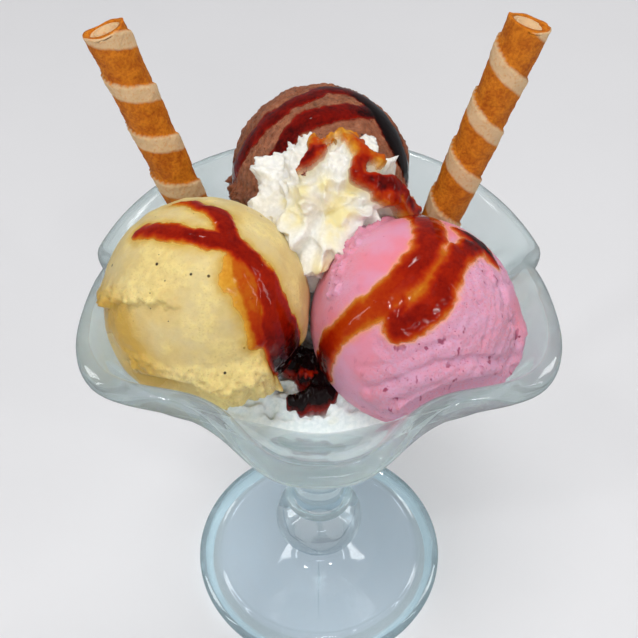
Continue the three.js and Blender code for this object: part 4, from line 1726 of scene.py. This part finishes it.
@dataclass
class WhippedCream(Scoop):
    """The ragged whipped cream between the scoops, with streaks of caramel and yellow patches."""

    node: str = "whipped_cream"
    slot: str = "whipped"
    finish: Finish = Finish.WHIPPED
    centre: Place = (3.0, 4.0, 166.6)
    radii: tuple[float, float, float] = (20.5, 17.0, 17.8)
    arc: float = 18.0
    feather: float = 1.8
    edge_depth: float = 0.5
    halo: float = 1.0
    marbling: float = 0.26
    sunk: float = 2.5
    fold_size: float = 15.0
    fold_height: float = 2.8
    fold_sharpness: float = 2.4
    tear_size: float = 7.0
    tear_height: float = 1.4
    tear_sharpness: float = 2.6
    tear_shift: float = 40.0  # keeps the tears apart from the folds in their noise
    warp: float = 1.6  # how far its folds wander
    warp_size: float = 7.0
    warp_shifts: tuple[float, float, float] = (0.0, 31.0, 57.0)
    fine_size: float = 1.5
    fine_height: float = 0.2
    crest_height: float = 2.1  # of the fine relief on the crests
    tail: Heading = (-95, -30)
    tail_height: float = 8.0
    tail_reach: float = 13.0
    peaks: tuple[tuple[float, float, float, float], ...] = (  # azimuth, elevation, height, reach
        (131, 52, 0.6, 6.0), (160, 53, 0.2, 5.0), (40, 48, 3.0, 7.0), (3, 38, 3.6, 6.0), (0, 14, 3.2, 6.0),
        (168, 26, 1.6, 6.0), (-172, 6, 1.4, 6.0), (-60, 74, 1.2, 6.0), (-120, 50, 1.6, 7.0),
        (-64, 30, 1.8, 7.0), (178, 42, -2.4, 4.5), (20, 38, -3.0, 4.0), (6, 26, -2.4, 3.5),
        (95, 60, -1.6, 5.0), (175, 16, -1.2, 4.0), (-28, 22, -1.0, 5.0), (-80, 14, 5.0, 7.5),
        (-104, 6, 5.5, 8.0), (-128, 14, 4.5, 7.5), (-58, 22, 3.0, 6.5),
    )  # fmt: skip
    ribbons: tuple[tuple[Stop, ...], ...] = (
        ((170, 78, 1.5, 0.3), (-160, 80, 1.7, 0.32), (-150, 84, 0.7, 0.34), (70, 84, 0.5, 0.36),
         (52, 80, 1.2, 0.38), (17, 77, 1.8, 0.42), (-27, 69, 1.9, 0.52), (-45, 64, 2.0, 0.7),
         (-53, 58, 2.0, 0.82), (-46, 49, 2.1, 0.88), (-31, 43, 2.1, 0.9), (-23, 33, 2.1, 0.88),
         (-18, 19, 2.0, 0.84), (-11, 2, 2.0, 0.8), (-8, -12, 2.0, 0.74)),
        ((-27, 66, 1.6, 0.34), (-18, 56, 1.8, 0.32)),
        ((-121, 78, 1.4, 0.72), (-130, 73, 1.4, 0.78), (-133, 67, 1.4, 0.76), (-140, 58, 0.9, 0.7)),
        ((-45, 39, 1.6, 0.5), (-31, 30, 1.5, 0.6), (-23, 12, 1.6, 0.42)),
    )  # fmt: skip
    patches: tuple[tuple[float, float, float], ...] = (  # azimuth, elevation, reach
        (-126, 46, 4.2), (-122, 28, 3.0), (-84, 42, 4.6), (-78, 33, 3.4), (-88, 22, 3.6), (-95, 2, 2.4),
        (-150, 28, 2.4), (-100, 60, 2.6), (-60, 52, 2.8), (-140, 8, 3.0),
    )  # fmt: skip

    def surface(self, directions: np.ndarray) -> np.ndarray:
        """Distance of the cream's surface from its middle.

        Args:
            directions: unit vectors from the cream's middle.

        Returns:
            The distance in each direction.
        """
        body = 1.0 / np.linalg.norm(directions / np.array(self.radii), axis=1)
        points = directions * body[:, None]
        shifts = [relief(points + shift, self.warp_size) for shift in self.warp_shifts]
        warped = points + self.warp * np.stack(shifts, axis=1)
        folds = 1.0 - self.fold_sharpness * np.abs(grain(warped, self.fold_size, 1))
        tears = 1.0 - self.tear_sharpness * np.abs(grain(warped + self.tear_shift, self.tear_size, 2))
        fine = grain(points, self.fine_size)
        lifted = sum(lift * self.mound(directions, (a, e), reach) for a, e, lift, reach in self.peaks)
        crest = np.clip(0.5 * folds + 0.5 * tears, 0.0, 1.0)
        return (
            body
            - self.sunk
            + self.fold_height * np.clip(folds, -0.5, 1.0)
            + self.tear_height * np.clip(tears, -0.5, 1.0)
            + (self.fine_height + self.crest_height * crest**2) * np.maximum(fine, -0.35)
            + lifted * (1.0 + 0.5 * tears)
            + self.tail_height * self.mound(directions, self.tail, self.tail_reach)
        )

    def press(self, points: np.ndarray) -> np.ndarray:
        """The cream doesn't reach the glass."""
        return points

    def roughness(self, directions: np.ndarray) -> np.ndarray:
        """Cream has no crumbs of its own."""
        return np.zeros(len(directions))

    def stain(self, directions: np.ndarray, inside: np.ndarray) -> np.ndarray:
        """How yellow the cream is.

        Args:
            directions: unit vectors from the cream's middle.
            inside: the millimetres inside the sauce's edge.

        Returns:
            The share of yellow in each direction, 0 to 1.
        """
        torn = 1.0 + 0.9 * grain(directions * self.arc, 3.0, 3)
        patches = sum(self.mound(directions, (a, e), 1.5 * reach) for a, e, reach in self.patches)
        return np.clip(super().stain(directions, inside) + 0.75 * patches * torn, 0.0, 1.0)


# ---------------------------------------------------------------- rolled wafers


@dataclass
class Wafer:
    """A hollow rolled wafer, wound in a helix that steps where the sheet laps over itself."""

    node: str
    foot: Place
    tip: Place
    first_pale: float  # from the tip down to the first pale band, at the front
    radius: float = 5.4
    wall: float = 1.2
    seam: float = 0.75
    pale_edge: float = 0.155  # turns from the pale band's middle up to the edge that laps over
    pitch: float = 15.3
    sunk: float = 34.0
    bore: float = 26.0  # about the depth of the hollow
    segments: int = 72
    rings: int = 150
    inner_rings: int = 12
    roll_turns: float = 1.6
    roll_steps: int = 70
    roll_start: float = 0.6  # radians
    roll_gap: float = 0.15  # from the wall to the inner turns
    roll_width: float = 1.7  # how far the inner turns wind inwards
    roll_depth: float = 12.0
    roll_height: float = 11.0
    sheet: float = 0.55  # thickness of the rolled sheet
    crust: Grain = Grain(0.16, 1.6)
    dents: Swell = Swell(0.14, 6.0)

    def build(self) -> None:
        """Builds the wafer."""
        axis = Vector(self.tip) - Vector(self.foot)
        length = axis.length + self.sunk
        bm = self.tube(length)
        close_mesh(bm)
        self.add_inner_roll(bm, length)
        turn = Vector((0, 0, 1)).rotation_difference(axis).to_matrix()
        base = Vector(self.foot) - axis.normalized() * self.sunk
        bmesh.ops.rotate(bm, cent=(0, 0, 0), matrix=turn, verts=bm.verts)
        bmesh.ops.translate(bm, vec=base, verts=bm.verts)
        piece = to_piece(bm, f"{self.node}_roll", Finish.WAFER.material())
        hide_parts(self.node)

    def tube(self, length: float) -> bmesh.types.BMesh:
        """The wafer's outer turn with its helical step and its hollow, standing on +Z.

        Args:
            length: the wafer's length.

        Returns:
            The tube, with its seam and poles still open.
        """
        bm = lathe(self.rings + self.inner_rings, self.segments)
        points = coordinates(bm)
        angle = np.arctan2(points[:, 1], points[:, 0])
        station = np.round(points[:, 2])
        height = length * np.clip(station / (self.rings - 1), 0.0, 1.0)
        ragged = 0.3 * np.sin(2 * angle + 1.0) + 0.15 * np.sin(5 * angle)
        height = height + np.where(height > length - 1.0, ragged - 0.5, 0.0)
        wind = angle / (2 * math.pi) + (height - (length - self.first_pale)) / self.pitch + 0.25
        lap = (self.pale_edge - wind) % 1.0
        skin = turned(np.full_like(angle, self.radius), angle, height)
        rough = self.crust.at(skin) + self.dents.at(skin)
        outside = self.radius + self.seam * (1.0 - lap) + rough - 0.1
        inward = np.clip((station - self.rings + 1) / self.inner_rings, 0.0, 1.0)
        hollow = inward > 0
        sunk = length - self.bore * (inward - 1.0 / self.inner_rings) - 0.6
        radius = np.where(hollow, self.radius - self.wall, outside)
        radius = np.where((inward >= 1.0) | (station == 0), 0.0, radius)
        place_vertices(bm, turned(radius, angle, np.where(hollow, sunk, height)))
        write_layer(bm, "band", np.where(hollow, 0.5, np.abs((wind + 0.5) % 1.0 - 0.5)))
        return bm

    def add_inner_roll(self, bm: bmesh.types.BMesh, length: float) -> None:
        """Adds the inner turns of the rolled sheet, seen at the open end.

        Args:
            bm: the wafer's mesh, standing on +Z.
            length: the wafer's length.
        """
        share = np.arange(self.roll_steps + 1) / self.roll_steps
        angle = 2 * math.pi * self.roll_turns * share + self.roll_start
        radius = self.radius - self.wall - self.roll_gap - self.roll_width * share
        spiral = turned(radius, angle, np.full_like(share, length - self.roll_depth))
        verts = [bm.verts.new(place) for place in spiral]
        edges = [bm.edges.new(pair) for pair in zip(verts[:-1], verts[1:])]
        made = bmesh.ops.extrude_edge_only(bm, edges=edges)["geom"]
        raised = [v for v in made if isinstance(v, bmesh.types.BMVert)]
        bmesh.ops.translate(bm, vec=(0, 0, self.roll_height), verts=raised)
        faces = [f for f in made if isinstance(f, bmesh.types.BMFace)]
        bmesh.ops.solidify(bm, geom=faces, thickness=self.sheet)


# ---------------------------------------------------------------- studio


@dataclass(frozen=True)
class Lamp:
    """A soft rectangular light that faces the sundae. Its sizes are in metres and its power in watts."""

    name: str
    place: Place
    width: float
    power: float
    depth: float | None = None  # None for a square
    mirrored: bool = True  # whether glossy surfaces reflect it
    aim: Place = (0.0, 0.0, 0.14)

    def hang(self) -> bpy.types.Object:
        """Adds the light.

        Returns:
            The light.
        """
        data = bpy.data.lights.new(self.name, "AREA")
        data.shape = "RECTANGLE"
        data.size = self.width
        data.size_y = self.depth or self.width
        data.energy = self.power
        light = bpy.data.objects.new(self.name, data)
        light.location = self.place
        light.visible_glossy = self.mirrored
        way = Vector(self.aim) - Vector(self.place)
        light.rotation_euler = way.to_track_quat("-Z", "Y").to_euler()
        bpy.context.scene.collection.objects.link(light)
        return light


@dataclass(frozen=True)
class Studio:
    """Camera, floor and light."""

    film: float = 36.0
    focal_length: float = 56.43
    camera_place: Place = (0.0, -199.7, 337.2)
    camera_tilt: float = 43.7
    near: float = 0.01  # metres from the camera to the nearest thing it shows
    floor_size: float = 20.0  # half its side, in metres
    world: Colour = (0.80, 0.84, 0.88)
    world_strength: float = 0.236
    sky_strength: float = 0.13  # lights the far floor, which the lamps don't reach
    sky_angle: float = 120.0
    lamps: tuple[Lamp, ...] = (
        Lamp("key", (-0.2, -0.35, 1.8), 0.7, 13.0, mirrored=False),
        Lamp("fill", (0.15, -1.5, 0.8), 0.9, 4.6, mirrored=False),
        Lamp("back", (0.6, 1.0, 1.6), 0.8, 10.0, mirrored=False),
        Lamp("left_spark", (-0.35, -0.4, 0.9), 0.05, 0.6),
        Lamp("right_spark", (0.4, -0.55, 0.8), 0.04, 0.4),
        Lamp("top_spark", (-0.1, 0.35, 1.0), 0.06, 0.4),
        Lamp("strip", (0.1, -1.0, 0.75), 0.5, 0.9, depth=0.02),
        Lamp("left_strip", (-1.0, -0.35, 0.6), 0.06, 1.2, depth=0.7),
        Lamp("right_strip", (1.0, -0.25, 0.7), 0.05, 0.9, depth=0.7),
    )
    glass_lamps: tuple[Lamp, ...] = (  # their long reflections show on the glass alone
        Lamp("left_box", (-1.1, 0.1, 0.75), 0.35, 6.0, depth=0.8),
        Lamp("right_box", (1.1, 0.25, 0.8), 0.35, 6.0, depth=0.8),
    )

    def build(self) -> None:
        """Builds the studio."""
        self.add_camera()
        self.add_floor()
        self.add_world()
        self.add_sky()
        for lamp in self.lamps:
            lamp.hang()

    def add_camera(self) -> None:
        """Adds the camera."""
        data = bpy.data.cameras.new("camera")
        data.lens = self.focal_length
        data.sensor_width = self.film
        data.clip_start = self.near
        camera = bpy.data.objects.new("camera", data)
        camera.location = [METRES * c for c in self.camera_place]
        camera.rotation_euler = (math.radians(self.camera_tilt), 0.0, 0.0)
        bpy.context.scene.collection.objects.link(camera)
        bpy.context.scene.camera = camera

    def add_floor(self) -> None:
        """Adds the floor."""
        bm = bmesh.new()
        bmesh.ops.create_grid(bm, x_segments=1, y_segments=1, size=self.floor_size)
        mesh = bpy.data.meshes.new("floor")
        bm.to_mesh(mesh)
        bm.free()
        mesh.materials.append(Finish.FLOOR.material())
        floor = bpy.data.objects.new("floor", mesh)
        bpy.context.scene.collection.objects.link(floor)
        floor.visible_glossy = False

    def add_world(self) -> None:
        """Lights the scene evenly from all sides."""
        world = bpy.data.worlds.new("studio")
        world.use_nodes = True
        background = world.node_tree.nodes["Background"]
        background.inputs["Color"].default_value = (*self.world, 1.0)
        background.inputs["Strength"].default_value = self.world_strength
        bpy.context.scene.world = world
        bpy.context.scene.view_settings.view_transform = "Standard"

    def add_sky(self) -> None:
        """Adds a weak light from all over the sky."""
        data = bpy.data.lights.new("sky", "SUN")
        data.energy = self.sky_strength
        data.angle = math.radians(self.sky_angle)
        sky = bpy.data.objects.new("sky", data)
        sky.visible_glossy = False
        bpy.context.scene.collection.objects.link(sky)

    def light_glass(self, glass: bpy.types.Object) -> None:
        """Hangs the lamps that light the glass alone.

        Args:
            glass: the dish.
        """
        only = bpy.data.collections.new("glass_only")
        only.objects.link(glass)
        for lamp in self.glass_lamps:
            lamp.hang().light_linking.receiver_collection = only


# ---------------------------------------------------------------- assembly


def main() -> None:
    """Builds the sundae piece by piece."""
    logging.basicConfig(level=logging.INFO, format="%(name)s %(message)s")
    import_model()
    studio = Studio()
    studio.build()
    dish = Dish()
    studio.light_glass(dish.build())
    cream = SoftCream(dish)
    cream.build()
    SaucePool(cream).build()
    for scoop in (VanillaScoop(dish), StrawberryScoop(dish), ChocolateScoop(dish), WhippedCream(dish)):
        scoop.build()
    wafers = (
        Wafer("wafer_left", (-37.5, 20.9, 155.2), (-54.4, 27.6, 205.9), first_pale=1.3),
        Wafer("wafer_right", (34.9, 18.8, 150.4), (52.8, 27.1, 208.1), first_pale=13.8),
    )
    for wafer in wafers:
        wafer.build()


if __name__ == "__main__":
    main()
